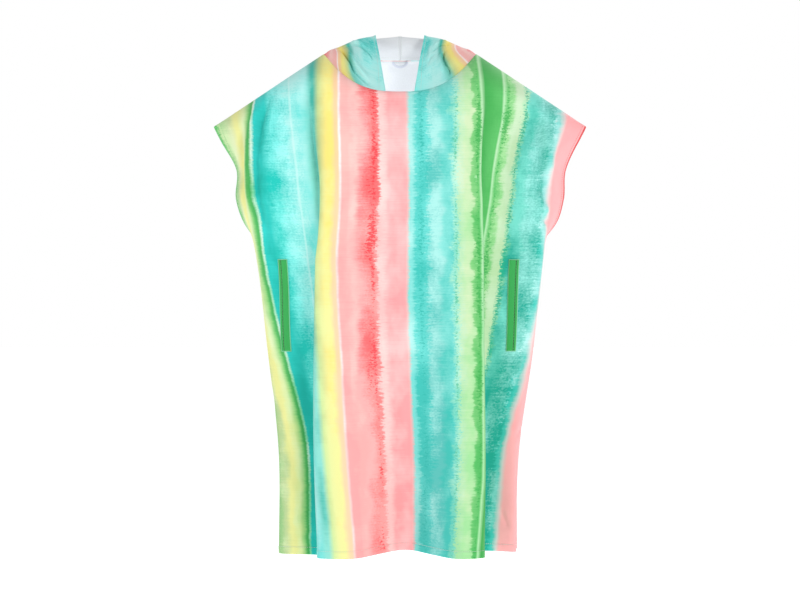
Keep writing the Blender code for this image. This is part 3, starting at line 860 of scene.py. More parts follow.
STRIPES = (
    Stripe(0.0000, linear(96, 184, 104), MID_GREEN, 0.004, 0.003, 0.003, 0.003),
    Stripe(0.0090, linear(150, 200, 132), linear(208, 234, 178), 0.008, 0.004, 0.005, 0.006),
    Stripe(0.0360, linear(186, 208, 148), linear(226, 238, 188), 0.016, 0.002, 0.002, 0.006, 0.004),
    Stripe(0.0520, linear(224, 226, 146), linear(236, 236, 156), 0.012, 0.000, 0.000, 0.006, 0.005),
    Stripe(0.0720, linear(216, 230, 152), linear(222, 238, 186), 0.010, 0.000, 0.000, 0.003, 0.003),
    Stripe(0.0850, linear(128, 200, 116), linear(124, 200, 118), 0.011, 0.002, 0.000, 0.002),
    Stripe(0.0925, linear(48, 160, 76), linear(70, 174, 88), 0.005, 0.001, 0.000, 0.001),
    Stripe(0.1002, linear(120, 210, 152), linear(226, 248, 230), 0.0012, 0.001, 0.001, 0.001),
    Stripe(0.1034, linear(4, 182, 170), TEAL, 0.002, 0.001, 0.001),
    Stripe(0.1330, linear(4, 196, 184), linear(132, 242, 236), 0.014, 0.010, 0.001, 0.006, 0.006),
    Stripe(0.1560, linear(26, 196, 188), linear(156, 240, 235), 0.018, 0.012, 0.001, 0.010, 0.010),
    Stripe(0.1840, linear(104, 220, 213), linear(180, 238, 233), 0.022, 0.010, 0.002, 0.008, 0.008),
    Stripe(0.2150, linear(116, 224, 217), linear(176, 236, 231), 0.010, 0.001, 0.000, 0.002),
    # From here to 0.2530 the pale tones, which the upper cloth takes, are darker teal and olive: painted
    # shade of the fold beside the yellow stripe, laid over the print.
    Stripe(0.2270, linear(140, 222, 208), linear(58, 180, 164), 0.012, 0.001),
    Stripe(0.2440, linear(206, 232, 160), linear(176, 200, 140), 0.009),
    Stripe(0.2530, linear(230, 236, 160), linear(220, 214, 132), 0.010),
    Stripe(0.2620, linear(236, 236, 156), linear(246, 226, 120), 0.010, 0.000, 0.000, 0.004, 0.003),
    Stripe(0.2780, linear(252, 210, 170), linear(250, 206, 156), 0.007),
    Stripe(0.2866, linear(254, 206, 202), linear(255, 246, 246), 0.003, 0.000, 0.000, 0.001),
    Stripe(0.2908, PINK, linear(252, 190, 184), 0.003, 0.000, 0.000, 0.001),
    Stripe(0.3080, linear(254, 172, 170), linear(254, 200, 194), 0.003, 0.004, 0.000, 0.006, 0.012),
    Stripe(0.3260, linear(254, 178, 176), linear(252, 138, 140), 0.010, 0.008, 0.001, 0.007, 0.018),
    Stripe(0.3380, linear(254, 168, 166), linear(250, 110, 112), 0.007, 0.009, 0.003, 0.006, 0.018),
    Stripe(0.3480, linear(254, 156, 154), linear(250, 104, 106), 0.006, 0.008, 0.004, 0.004, 0.004),
    Stripe(0.3650, linear(254, 188, 186), linear(255, 212, 208), 0.004, 0.008, 0.003, 0.002),
    Stripe(0.3810, linear(252, 156, 158), linear(253, 194, 193), 0.010, 0.000, 0.000, 0.006),
    Stripe(0.4040, linear(250, 160, 162), linear(252, 196, 195), 0.010, 0.000, 0.000, 0.001),
    Stripe(0.4225, linear(112, 214, 206), linear(176, 236, 230), 0.005, 0.003, 0.002, 0.002),
    Stripe(0.4340, linear(56, 190, 180), linear(104, 216, 208), 0.004, 0.009, 0.005, 0.003),
    Stripe(0.4610, linear(84, 192, 184), linear(166, 230, 223), 0.008, 0.010, 0.003, 0.008),
    Stripe(0.4850, linear(56, 192, 180), linear(130, 220, 211), 0.012, 0.006, 0.002, 0.012, 0.003),
    Stripe(0.5080, linear(110, 208, 186), linear(182, 234, 212), 0.008, 0.004, 0.007, 0.003),
    Stripe(0.5180, linear(160, 218, 160), PALE_GREEN, 0.004, 0.003, 0.009, 0.002),
    Stripe(0.5300, linear(156, 220, 152), linear(206, 228, 184), 0.003, 0.003, 0.001, 0.006, 0.002),
    Stripe(0.5450, linear(78, 182, 92), linear(132, 204, 128), 0.005, 0.004, 0.001, 0.010, 0.002),
    Stripe(0.5560, linear(78, 182, 92), linear(110, 196, 112), 0.002),
    Stripe(0.5622, MINT, linear(208, 240, 202), 0.0015, 0.000, 0.000, 0.001),
    Stripe(0.5660, linear(52, 162, 70), linear(62, 168, 78), 0.003),
    Stripe(0.5860, linear(72, 176, 86), linear(90, 188, 100), 0.030),
    Stripe(0.6090, MINT, linear(208, 240, 202), 0.0015, 0.000, 0.000, 0.001),
    Stripe(0.6130, linear(74, 180, 90), linear(120, 200, 120), 0.002, 0.001),
    Stripe(0.6200, linear(96, 192, 104), linear(168, 222, 158), 0.006, 0.006, 0.002, 0.012),
    Stripe(0.6330, LIGHT_GREEN, PALE_GREEN, 0.005, 0.003, 0.002, 0.005),
    Stripe(0.6500, linear(34, 180, 144), linear(184, 230, 186), 0.003, 0.003, 0.008, 0.002),
    Stripe(0.6580, linear(4, 164, 144), linear(116, 218, 202), 0.005, 0.006, 0.006, 0.006),
    Stripe(0.6830, linear(4, 166, 146), linear(150, 228, 219), 0.012, 0.012, 0.004, 0.012, 0.004),
    Stripe(0.7180, linear(58, 196, 182), PALE_AQUA, 0.008, 0.003, 0.001, 0.004),
    Stripe(0.7300, linear(196, 214, 210), linear(232, 214, 212), 0.008, 0.000, 0.000, 0.001),
    Stripe(0.7370, linear(254, 176, 177), linear(252, 168, 170), 0.008, 0.000, 0.000, 0.003),
)


@dataclass(frozen=True)
class Flecks:
    """A band of stippled dye down the cloth.

    full is how much of its middle is covered, from -1 to 1. drift is how far that changes along the
    band, and thinning how much less there is of it a metre further down.
    """

    middle: float
    reach: float
    colour: Colour
    full: float
    drift: float
    thinning: float = 0.0


FLECKS = (
    Flecks(0.0070, 0.014, linear(76, 168, 90), 0.02, 0.30),
    Flecks(0.3555, 0.013, DEEP_CORAL, 0.12, 0.55, 0.70),
    Flecks(0.4475, 0.015, linear(36, 178, 166), 0.00, 0.30),
    Flecks(0.5135, 0.010, linear(84, 188, 152), -0.05, 0.45),
    Flecks(0.5560, 0.010, linear(56, 166, 76), 0.00, 0.70),
    Flecks(0.6200, 0.013, linear(60, 168, 80), -0.05, 0.70),
    Flecks(0.6560, 0.010, linear(28, 168, 134), 0.10, 0.35),
)


@dataclass(frozen=True)
class StripedPrint:
    """Brushed microfibre, printed with lengthwise stripes whose dye runs and feathers sideways, with painted
    shade by one fold and a painted highlight along a crease.
    """

    name: str = "striped_print"
    paleness: float = 0.46
    stripes_in_ramp: int = 15
    reach_scale: float = 40.0
    reach_blend: float = 0.006
    middle_level: float = 0.45
    sinking: float = 0.85
    # The fold mark is a pale line along a crease's ridge: a painted highlight.
    fold_mark: tuple[float, float, float] = (0.1799, 0.1339, -0.2647)
    fold_mark_reach: float = 0.0042
    fold_mark_end: float = 0.56
    dipped_edge: float = 0.0058
    dipped_dye: Colour = linear(214, 70, 72)
    fold_mark_fade: float = 0.06
    fold_mark_cover: float = 0.42
    fold_ridge_painted_highlight: Colour = linear(214, 246, 242)
    wander_reach: float = 0.0034
    bank_share: float = 0.70
    wash_share: float = 0.34
    fine_share: float = 0.20
    speck_share: float = 26.0
    stipple_share: float = 1.1
    fleck_rim: tuple[float, float] = (-0.10, 0.25)
    fleck_cover: float = 0.85
    brightness: float = 0.985
    streak_shade: float = 0.010
    pile_shade: float = 0.08

    def ramps(self, shader: Shader, where: Wire, values: list[Colour], softs: list[float]) -> Wire:
        """Reads one value for each stripe at a place across the cloth.

        Args:
            shader: the material under construction.
            where: the place across the cloth.
            values: a colour for each stripe.
            softs: how wide each stripe's left edge blends.

        Returns:
            The colour there.
        """
        result = None
        for first in range(0, len(STRIPES), self.stripes_in_ramp):
            last = min(first + self.stripes_in_ramp, len(STRIPES))
            edge = STRIPES[first].start - softs[first] / 2
            stops = [(max(0.0, edge), values[max(first - 1, 0)])]
            for i in range(max(first, 1), last):
                stops.append((STRIPES[i].start - softs[i] / 2, values[i - 1]))
                stops.append((STRIPES[i].start + softs[i] / 2, values[i]))
            ramp = shader.node("ShaderNodeValToRGB", {"stops": stops}, {0: where})
            result = ramp if result is None else shader.mix(where > edge, result, ramp)
        return result

    def reaches(self, shader: Shader, where: Wire) -> list[Wire]:
        """How far streaks, specks, blots and swells carry the dye at a place, in metres.

        Args:
            shader: the material under construction.
            where: the place across the cloth.

        Returns:
            The four distances.
        """
        softs = [self.reach_blend] * len(STRIPES)
        fine = [(s.streaks, s.specks, s.blots) for s in STRIPES]
        fine = [tuple(self.reach_scale * value for value in row) for row in fine]
        slow = [(self.reach_scale * s.swells,) * 3 for s in STRIPES]
        both = (self.ramps(shader, where, fine, softs), self.ramps(shader, where, slow, softs))
        wires = [shader.node("ShaderNodeSeparateColor", {}, {0: both[0]}, i) for i in range(3)]
        wires.append(shader.node("ShaderNodeSeparateColor", {}, {0: both[1]}, 0))
        return [wire * (1.0 / self.reach_scale) for wire in wires]

    def material(self) -> bpy.types.Material:
        """Builds the material.

        Returns:
            The material.
        """
        shader = Shader(self.name)
        across, down = shader.cut_place()

        def cloud(wide: float, tall: float, seed: float, detail: float = 3.0, rough: float = 0.5) -> Wire:
            """Noise of about -1 to 1, with so many clouds to a metre across and down."""
            place = shader.place(across * wide, down * tall, seed)
            return (shader.noise(place, detail=detail, roughness=rough) - 0.5) * 4.0

        wander = cloud(3.0, 3.4, 4.0)
        swell = cloud(5.0, 8.0, 11.0, 2.0)
        blot = cloud(24.0, 30.0, 7.0, 2.0)
        streak = cloud(24.0, 230.0, 1.0, 4.0, 0.62)
        speck = cloud(230.0, 300.0, 2.0, 2.0, 0.6)
        streaks, specks, blots, swells = self.reaches(shader, across)
        slow = across + wander * self.wander_reach + swells * swell
        where = (slow + streaks * streak + specks * speck + blots * blot).maths("MAXIMUM", 0.0)
        softs = [s.soft for s in STRIPES]
        deep = self.ramps(shader, where, [s.deep for s in STRIPES], softs)
        pale = self.ramps(shader, where, [s.pale for s in STRIPES], softs)
        bank = cloud(20.0, 13.0, 3.0, 3.0, 0.55)
        wash = cloud(9.0, 6.0, 13.0, 2.0)
        fine = cloud(12.0, 360.0, 5.0, 3.0, 0.7)
        sunk = down - self.middle_level
        run = bank * self.bank_share + wash * self.wash_share + fine * self.fine_share
        run = run + speck * streaks * self.speck_share - sunk * self.sinking + self.paleness
        colour = shader.mix(run.clamped(), deep, pale)
        stipple = cloud(125.0, 290.0, 21.0, 3.0, 0.7)
        thick = cloud(4.0, 9.0, 17.0, 2.0)
        for band in FLECKS:
            off = (slow - band.middle).maths("ABSOLUTE") * (1.0 / band.reach)
            cover = thick * band.drift + stipple * self.stipple_share - off - sunk * band.thinning
            cover = (cover + band.full).between(*self.fleck_rim)
            colour = shader.mix(cover * self.fleck_cover, colour, band.colour)
        # A pale line along the raised crease on the left of the front: a painted highlight on its ridge,
        # which the bump below also lifts.
        line = down * down * self.fold_mark[2] + down * self.fold_mark[1] + self.fold_mark[0]
        mark = 1.0 - (across - line).maths("ABSOLUTE").between(0.0, self.fold_mark_reach)
        mark = mark * (self.fold_mark_end - down).between(0.0, self.fold_mark_fade)
        colour = shader.mix(mark * self.fold_mark_cover, colour, self.fold_ridge_painted_highlight)
        sleeve_edge = (across > CUT_WIDTH - self.dipped_edge) * (-UNDERARM_LEVEL - down > 0.0)
        colour = shader.mix(sleeve_edge, colour, self.dipped_dye)
        pile = shader.noise(shader.place(across, down), 1400.0, 2.0, 0.6)
        shade = self.brightness + fine * self.streak_shade + (pile - 0.5) * self.pile_shade
        shades = shader.node("ShaderNodeCombineColor", {}, {0: shade, 1: shade, 2: shade})
        colour = shader.mix(1.0, colour, shades, "MULTIPLY")
        crumple = cloud(17.0, 11.0, 9.0, 3.0, 0.55)
        normal = shader.bump(crumple + mark * 0.8, 0.0007, 0.6)
        normal = shader.bump(pile, 0.0005, 0.45, normal)
        shader.set(Base_Color=colour, Normal=normal, Roughness=0.88, Sheen_Weight=0.10, Sheen_Roughness=0.5)
        return shader.material


@dataclass(frozen=True)
class PileInside:
    """The unprinted inside: a short looped pile, near white with a breath of lavender."""

    name: str = "pile_inside"
    colour: Colour = linear(234, 238, 242)
    loops: float = 520.0

    def material(self) -> bpy.types.Material:
        """Builds the material.

        Returns:
            The material.
        """
        shader = Shader(self.name)
        across, down = shader.cut_place()
        place = shader.place(across, down)
        loop = shader.node("ShaderNodeTexVoronoi", {}, {"Vector": place, "Scale": self.loops})
        tuft = shader.noise(place, 900.0, 2.0, 0.6)
        drift = shader.noise(place, 14.0, 3.0, 0.5)
        dim = dimmed(self.colour, 0.86)
        colour = shader.mix((loop * 0.35 + tuft * 0.3 + drift * 0.25).clamped(), dim, self.colour)
        normal = shader.bump(1.0 - loop, 0.0006, 0.6)
        shader.set(Base_Color=colour, Normal=normal, Roughness=0.93, Sheen_Weight=0.15, Sheen_Roughness=0.6)
        return shader.material


class Weave(Enum):
    """How a plain cloth is woven: threads a metre along and across it."""

    TWILL = (620.0, 900.0)
    TAPE = (420.0, 1500.0)


@dataclass(frozen=True)
class PlainCloth:
    """A plain woven cloth of one colour; the strip in a pocket's mouth uses it for a painted shadow."""

    name: str
    colour: Colour
    weave: Weave
    roughness: float = 0.82

    def material(self) -> bpy.types.Material:
        """Builds the material.

        Returns:
            The material.
        """
        shader = Shader(self.name)
        across, down = shader.cut_place()
        warp, weft = self.weave.value
        rib = ((across * warp + down * weft) * math.tau).maths("SINE") * 0.5 + 0.5
        fleck = shader.noise(shader.place(across, down), 700.0, 3.0, 0.6)
        dim = dimmed(self.colour, 0.72)
        colour = shader.mix((rib * 0.45 + fleck * 0.75).clamped(), dim, self.colour)
        shader.set(Base_Color=colour, Normal=shader.bump(rib, 0.0003, 0.5), Roughness=self.roughness,
                   Sheen_Weight=0.08)
        return shader.material


@dataclass(frozen=True)
class Thread:
    """Sewing thread, with its twist."""

    name: str
    colour: Colour

    def material(self) -> bpy.types.Material:
        """Builds the material.

        Returns:
            The material.
        """
        shader = Shader(self.name)
        place = shader.node("ShaderNodeTexCoord", {}, {}, "Object")
        twist = shader.noise(place, 2200.0, 1.0)
        dim = dimmed(self.colour, 0.7)
        shader.set(Base_Color=shader.mix(twist, dim, self.colour), Roughness=0.6)
        return shader.material


@dataclass
class StitchRun:
    """Lines of straight stitches, each one a short rounded bar lying on the cloth."""

    name: str
    pitch: float = 0.0038
    length: float = 0.0027
    width: float = 0.0008
    paths: list[tuple[Array, Array]] = field(default_factory=list)

    def follow(self, points: Array, normals: Array) -> None:
        """Adds a line of stitches along points in the cloth, lifted onto the face the normals leave."""
        self.paths.append((points + normals * (WALL / 2 + self.width * 0.2), normals))

    def build(self, thread: bpy.types.Material) -> bpy.types.Object:
        """Makes all the stitches as one piece.

        Args:
            thread: what the stitches are made of.

        Returns:
            The piece.
        """
        bm = bmesh.new()
        for points, normals in self.paths:
            lengths = distances(points)
            spots = np.arange(self.pitch / 2, lengths[-1] - self.pitch / 2, self.pitch)
            for spot in spots:
                ends = [Vector([np.interp(spot + reach, lengths, axis) for axis in points.T])
                        for reach in (-self.length / 2, self.length / 2)]
                normal = Vector([np.interp(spot, lengths, axis) for axis in normals.T])
                self.add_stitch(bm, ends[0], ends[1], normal)
        mesh = mesh_of(self.name, bm)
        mesh.shade_smooth()
        mesh.materials.append(thread)
        return linked(self.name, mesh)

    def add_stitch(self, bm: bmesh.types.BMesh, start: Vector, end: Vector, normal: Vector) -> None:
        """Adds one stitch between two points.

        Args:
            bm: what the stitch is added to.
            start: one end.
            end: the other end.
            normal: the way that the cloth faces there.
        """
        run = end - start
        side = normal.cross(run).normalized()
        up = run.cross(side).normalized()
        axes = (run / 2, side * (self.width / 2), up * (self.width / 2))
        turn = Matrix([[axis[k] for axis in axes] for k in range(3)]).to_4x4()
        matrix = Matrix.Translation((start + end) / 2) @ turn @ Matrix.Rotation(math.pi / 2, 4, "Y")
        bmesh.ops.create_uvsphere(bm, u_segments=6, v_segments=4, radius=1.0, matrix=matrix)


SIDE_SEAM_LEFT = Track((
    (UNDERARM_LEVEL, -0.284, 0.024),
    (-0.420, -0.262, 0.026),
    (-0.590, -0.238, 0.020),
    (-0.790, -0.226, -0.008),
    (HEM_LEVEL, -0.228, -0.016),
))
SIDE_SEAM_RIGHT = Track((
    (UNDERARM_LEVEL, 0.282, 0.020),
    (-0.420, 0.262, 0.022),
    (-0.590, 0.240, 0.018),
    (-0.790, 0.227, 0.000),
    (HEM_LEVEL, 0.224, -0.006),
))
# Level, x, the front's y and the back's y
ARMHOLE_LEFT = Track((
    (-0.100, -0.398, 0.014, -0.040),
    (-0.1445, -0.372, 0.000, 0.000),
    (-0.172, -0.357, -0.009, 0.024),
    (-0.230, -0.325, -0.012, 0.048),
    (-0.290, -0.326, -0.006, 0.055),
    (-0.334, -0.312, 0.008, 0.046),
    (UNDERARM_LEVEL, -0.284, 0.024, 0.024),
))
ARMHOLE_RIGHT = Track((
    (-0.100, 0.396, 0.014, -0.040),
    (-0.1445, 0.372, 0.000, 0.000),
    (-0.172, 0.357, -0.008, 0.024),
    (-0.190, 0.347, -0.010, 0.034),
    (-0.230, 0.330, -0.010, 0.048),
    (-0.290, 0.326, -0.004, 0.055),
    (-0.334, 0.313, 0.008, 0.046),
    (UNDERARM_LEVEL, 0.282, 0.020, 0.020),
))
# Level, x, y and the cloth beyond the turn
FRONT_TURN_LEFT = Track((
    (-0.100, -0.300, -0.040, 0.090),
    (-0.146, -0.301, -0.055, 0.090),
    (-0.230, -0.301, -0.082, 0.088),
    (-0.290, -0.299, -0.084, 0.086),
    (-0.334, -0.291, -0.070, 0.085),
    (-0.420, -0.280, -0.052, 0.080),
    (-0.590, -0.262, -0.036, 0.060),
    (-0.790, -0.238, -0.046, 0.040),
    (HEM_LEVEL, -0.238, -0.046, 0.032),
))
FRONT_TURN_RIGHT = Track((
    (-0.100, 0.330, -0.030, 0.066),
    (-0.146, 0.325, -0.040, 0.066),
    (-0.190, 0.308, -0.058, 0.067),
    (-0.230, 0.298, -0.068, 0.068),
    (-0.334, 0.288, -0.058, 0.070),
    (-0.420, 0.281, -0.045, 0.070),
    (-0.590, 0.263, -0.035, 0.058),
    (-0.790, 0.235, -0.030, 0.032),
    (HEM_LEVEL, 0.230, -0.025, 0.020),
))
BACK_TURN_LEFT = Track((
    (-0.100, -0.305, 0.046, 0.085),
    (-0.146, -0.302, 0.062, 0.085),
    (-0.230, -0.292, 0.095, 0.070),
    (-0.290, -0.288, 0.098, 0.060),
    (-0.334, -0.284, 0.090, 0.055),
    (-0.420, -0.275, 0.072, 0.050),
    (-0.590, -0.256, 0.065, 0.048),
    (-0.790, -0.239, 0.040, 0.050),
    (HEM_LEVEL, -0.240, 0.035, 0.052),
))
BACK_TURN_RIGHT = Track((
    (-0.100, 0.305, 0.046, 0.085),
    (-0.146, 0.302, 0.062, 0.085),
    (-0.230, 0.292, 0.095, 0.070),
    (-0.290, 0.288, 0.098, 0.060),
    (-0.334, 0.284, 0.090, 0.055),
    (-0.420, 0.276, 0.070, 0.050),
    (-0.590, 0.258, 0.062, 0.048),
    (-0.790, 0.238, 0.044, 0.048),
    (HEM_LEVEL, 0.236, 0.038, 0.046),
))
# Level, the edge's x, how open it is, where the cloth goes in and comes out, and the y of both
FRONT_FOLD_LEFT = Track((
    (-0.020, -0.178, 0.016, 0.224, 0.240, -0.088, -0.092),
    (-0.146, -0.178, 0.016, 0.224, 0.240, -0.096, -0.102),
    (-0.270, -0.169, 0.014, 0.222, 0.242, -0.096, -0.108),
    (-0.390, -0.166, 0.006, 0.208, 0.246, -0.086, -0.112),
    (-0.590, -0.166, 0.000, 0.160, 0.238, -0.075, -0.118),
    (-0.790, -0.167, 0.000, 0.116, 0.222, -0.072, -0.122),
    (HEM_LEVEL, -0.160, 0.000, 0.116, 0.203, -0.076, -0.122),
))
FRONT_FOLD_RIGHT = Track((
    (-0.020, 0.162, 0.010, 0.567, 0.577, -0.092, -0.088),
    (-0.100, 0.167, 0.010, 0.567, 0.577, -0.102, -0.094),
    (-0.190, 0.164, 0.008, 0.567, 0.582, -0.108, -0.094),
    (-0.270, 0.161, 0.004, 0.567, 0.589, -0.111, -0.090),
    (-0.390, 0.161, 0.000, 0.567, 0.611, -0.115, -0.078),
    (-0.590, 0.163, 0.000, 0.567, 0.640, -0.120, -0.060),
    (-0.790, 0.165, 0.000, 0.567, 0.687, -0.122, -0.040),
    (HEM_LEVEL, 0.163, 0.000, 0.584, 0.706, -0.118, -0.015),
))
BACK_FOLD_LEFT = Track((
    (-0.020, -0.125, 0.014, 0.268, 0.282, 0.092, 0.092),
    (-0.146, -0.125, 0.014, 0.268, 0.282, 0.100, 0.104),
    (-0.270, -0.125, 0.008, 0.244, 0.268, 0.104, 0.118),
    (-0.390, -0.124, 0.000, 0.210, 0.253, 0.106, 0.128),
    (-0.590, -0.122, 0.000, 0.190, 0.248, 0.112, 0.138),
    (-0.790, -0.118, 0.000, 0.192, 0.252, 0.114, 0.142),
    (HEM_LEVEL, -0.120, 0.000, 0.198, 0.253, 0.116, 0.144),
))
BACK_FOLD_MIDDLE = Track((
    (-0.020, -0.004, 0.014, 0.389, 0.403, 0.095, 0.095),
    (-0.200, -0.004, 0.014, 0.388, 0.403, 0.106, 0.108),
    (-0.390, -0.004, 0.004, 0.373, 0.408, 0.112, 0.128),
    (-0.590, -0.002, 0.000, 0.370, 0.428, 0.116, 0.140),
    (-0.790, 0.002, 0.000, 0.376, 0.432, 0.118, 0.146),
    (HEM_LEVEL, 0.004, 0.000, 0.380, 0.430, 0.122, 0.148),
))
BACK_FOLD_RIGHT = Track((
    (-0.020, 0.120, 0.014, 0.513, 0.527, 0.092, 0.092),
    (-0.146, 0.120, 0.014, 0.513, 0.527, 0.104, 0.100),
    (-0.270, 0.119, 0.006, 0.522, 0.550, 0.118, 0.102),
    (-0.390, 0.118, 0.000, 0.534, 0.582, 0.130, 0.106),
    (-0.590, 0.116, 0.000, 0.549, 0.606, 0.138, 0.110),
    (-0.790, 0.112, 0.000, 0.548, 0.604, 0.142, 0.112),
    (HEM_LEVEL, 0.115, 0.000, 0.553, 0.606, 0.142, 0.114),
))
# Level and y of the cloth between the folds
FRONT_LOBE = Track(((-0.020, -0.100), (-0.146, -0.110), (-0.270, -0.117), (-0.390, -0.119),
                    (-0.590, -0.128), (-0.790, -0.136), (HEM_LEVEL, -0.142)))
FRONT_FLANK = Track(((-0.020, -0.104), (-0.146, -0.116), (-0.270, -0.127), (-0.390, -0.124),
                     (-0.590, -0.120), (-0.790, -0.111), (HEM_LEVEL, -0.101)))
FRONT_CENTRE = Track(((-0.020, -0.106), (-0.146, -0.118), (-0.270, -0.130), (-0.390, -0.123),
                      (-0.590, -0.110), (-0.790, -0.084), (HEM_LEVEL, -0.056)))
BACK_LOBE = Track(((-0.020, 0.095), (-0.200, 0.110), (-0.390, 0.126), (-0.590, 0.136),
                   (HEM_LEVEL, 0.142)))
# Level and distance along the cloth, from its own side's cut edge
POCKET_LEFT = Track(((BAND_LEVEL, 0.144), (POCKET_TOP, 0.138), (POCKET_BOTTOM, 0.104), (-0.790, 0.084)))
POCKET_RIGHT = Track(((BAND_LEVEL, 0.130), (POCKET_TOP, 0.1255), (POCKET_BOTTOM, 0.1045), (-0.790, 0.070)))

# Height, width and line of each crease: a trough by the sleeve, its ridge, and so on down the cloth
FRONT_CREASES = (
    Crease(-0.0130, 0.0095, ((0.156, -0.050), (0.134, -0.100), (0.119, -0.150), (0.112, -0.250),
                             (0.111, -0.345), (0.116, -0.420))),
    Crease(0.0070, 0.0075, ((0.118, -0.090), (0.102, -0.140), (0.096, -0.200), (0.095, -0.280),
                            (0.096, -0.350))),
    Crease(-0.0090, 0.0100, ((0.078, -0.130), (0.070, -0.190), (0.066, -0.250), (0.070, -0.330))),
    Crease(0.0030, 0.0028, ((0.187, -0.060), (0.193, -0.185), (0.196, -0.290), (0.195, -0.392),
                            (0.182, -0.490))),
    Crease(-0.0034, 0.0110, ((0.176, -0.110), (0.178, -0.250), (0.170, -0.400))),
    Crease(-0.0150, 0.0095, ((0.226, -0.030), (0.230, -0.090), (0.234, -0.180), (0.240, -0.300),
                             (0.246, -0.420))),
    Crease(0.0074, 0.0110, ((0.256, -0.060), (0.258, -0.160), (0.262, -0.320), (0.266, -0.480),
                            (0.262, -0.600))),
    Crease(-0.0022, 0.0180, ((0.318, -0.150), (0.322, -0.420), (0.326, -0.800))),
    Crease(0.0020, 0.0200, ((0.392, -0.130), (0.388, -0.420), (0.396, -0.900))),
    Crease(-0.0022, 0.0160, ((0.452, -0.110), (0.446, -0.380), (0.452, -0.760))),
    Crease(0.0024, 0.0160, ((0.512, -0.160), (0.506, -0.480), (0.500, -0.930))),
    Crease(-0.0052, 0.0070, ((0.582, -0.060), (0.578, -0.120), (0.574, -0.200), (0.572, -0.300))),
    Crease(0.0036, 0.0110, ((0.604, -0.080), (0.606, -0.200), (0.610, -0.380))),
    Crease(-0.0030, 0.0110, ((0.636, -0.110), (0.640, -0.240), (0.644, -0.430))),
    Crease(-0.0125, 0.0110, ((0.662, -0.105), (0.680, -0.160), (0.702, -0.217), (0.724, -0.285),
                             (0.730, -0.330))),
    Crease(0.0058, 0.0085, ((0.690, -0.130), (0.720, -0.200), (0.738, -0.260))),
    Crease(0.0078, 0.0066, ((0.706, -0.272), (0.718, -0.300), (0.738, -0.322))),
    Crease(-0.0070, 0.0056, ((0.712, -0.318), (0.728, -0.334), (0.744, -0.340))),
    Crease(-0.0013, 0.0030, ((0.152, -0.104), (0.188, -0.107), (0.228, -0.111))),
    Crease(-0.0040, 0.0090, ((0.050, -0.655), (0.056, -0.700), (0.065, -0.787), (0.062, -0.850))),
    Crease(0.0026, 0.0070, ((0.090, -0.420), (0.098, -0.440), (0.104, -0.468))),
    Crease(-0.0028, 0.0045, ((0.737, -0.902), (0.746, -0.922), (0.760, -0.946))),
    Crease(-0.0026, 0.0045, ((0.750, -0.765), (0.756, -0.752), (0.764, -0.738))),
    Crease(-0.0034, 0.0130, ((0.132, -0.560), (0.122, -0.740), (0.120, -0.960))),
    Crease(-0.0030, 0.0120, ((0.720, -0.480), (0.722, -0.640), (0.716, -0.820))),
)
BACK_CREASES = (
    Crease(-0.0090, 0.0120, ((0.150, -0.060), (0.126, -0.125), (0.112, -0.220), (0.108, -0.360))),
    Crease(0.0045, 0.0100, ((0.106, -0.120), (0.090, -0.200), (0.088, -0.340))),
    Crease(-0.0090, 0.0120, ((0.652, -0.060), (0.676, -0.130), (0.690, -0.230), (0.694, -0.350))),
    Crease(0.0045, 0.0100, ((0.700, -0.130), (0.712, -0.210), (0.712, -0.330))),
    Crease(0.0030, 0.0120, ((0.190, -0.080), (0.226, -0.220), (0.246, -0.400))),
    Crease(0.0030, 0.0120, ((0.612, -0.080), (0.580, -0.230), (0.556, -0.410))),
    Crease(-0.0036, 0.0180, ((0.322, -0.200), (0.330, -0.520), (0.326, -0.930))),
    Crease(-0.0036, 0.0180, ((0.470, -0.220), (0.458, -0.560), (0.464, -0.940))),
    Crease(0.0030, 0.0160, ((0.360, -0.420), (0.356, -0.680), (0.358, -0.950))),
    Crease(-0.0040, 0.0150, ((0.140, -0.470), (0.146, -0.700), (0.150, -0.950))),
    Crease(-0.0040, 0.0150, ((0.668, -0.440), (0.662, -0.690), (0.664, -0.940))),
    Crease(-0.0026, 0.0050, ((0.372, -0.300), (0.388, -0.330), (0.396, -0.372))),
    Crease(-0.0024, 0.0050, ((0.560, -0.505), (0.548, -0.540), (0.544, -0.585))),
    Crease(-0.0030, 0.0080, ((0.056, -0.640), (0.064, -0.760), (0.060, -0.860))),
    Crease(-0.0028, 0.0060, ((0.744, -0.760), (0.752, -0.840), (0.748, -0.910))),
)
# Around from the face edge, and up from the neck seam
HOOD_CREASES_BOTH = (
    Crease(-0.0050, 0.0120, ((0.190, 0.085), (0.200, 0.170), (0.196, 0.290))),
    Crease(0.0040, 0.0110, ((0.262, 0.075), (0.256, 0.160), (0.250, 0.270))),
    Crease(-0.0040, 0.0110, ((0.320, 0.070), (0.318, 0.160), (0.310, 0.250))),
    Crease(-0.0045, 0.0100, ((0.070, 0.200), (0.110, 0.250), (0.120, 0.330))),
    Crease(0.0040, 0.0120, ((0.140, 0.120), (0.152, 0.210), (0.150, 0.310))),
)
HOOD_CREASES_LEFT = HOOD_CREASES_BOTH + (
    Crease(-0.0075, 0.0034, ((0.050, 0.104), (0.078, 0.112), (0.104, 0.108), (0.128, 0.094))),
    Crease(0.0040, 0.0055, ((0.054, 0.122), (0.090, 0.127), (0.124, 0.115))),
    Crease(-0.0085, 0.0034, ((0.116, 0.082), (0.096, 0.068), (0.090, 0.046), (0.090, 0.026),
                             (0.078, 0.002))),
    Crease(0.0052, 0.0055, ((0.104, 0.084), (0.080, 0.068), (0.075, 0.046), (0.075, 0.024))),
    Crease(-0.0040, 0.0040, ((0.034, 0.070), (0.050, 0.090), (0.070, 0.094))),
    Crease(0.0034, 0.0100, ((0.036, 0.035), (0.044, 0.090), (0.046, 0.150))),
)
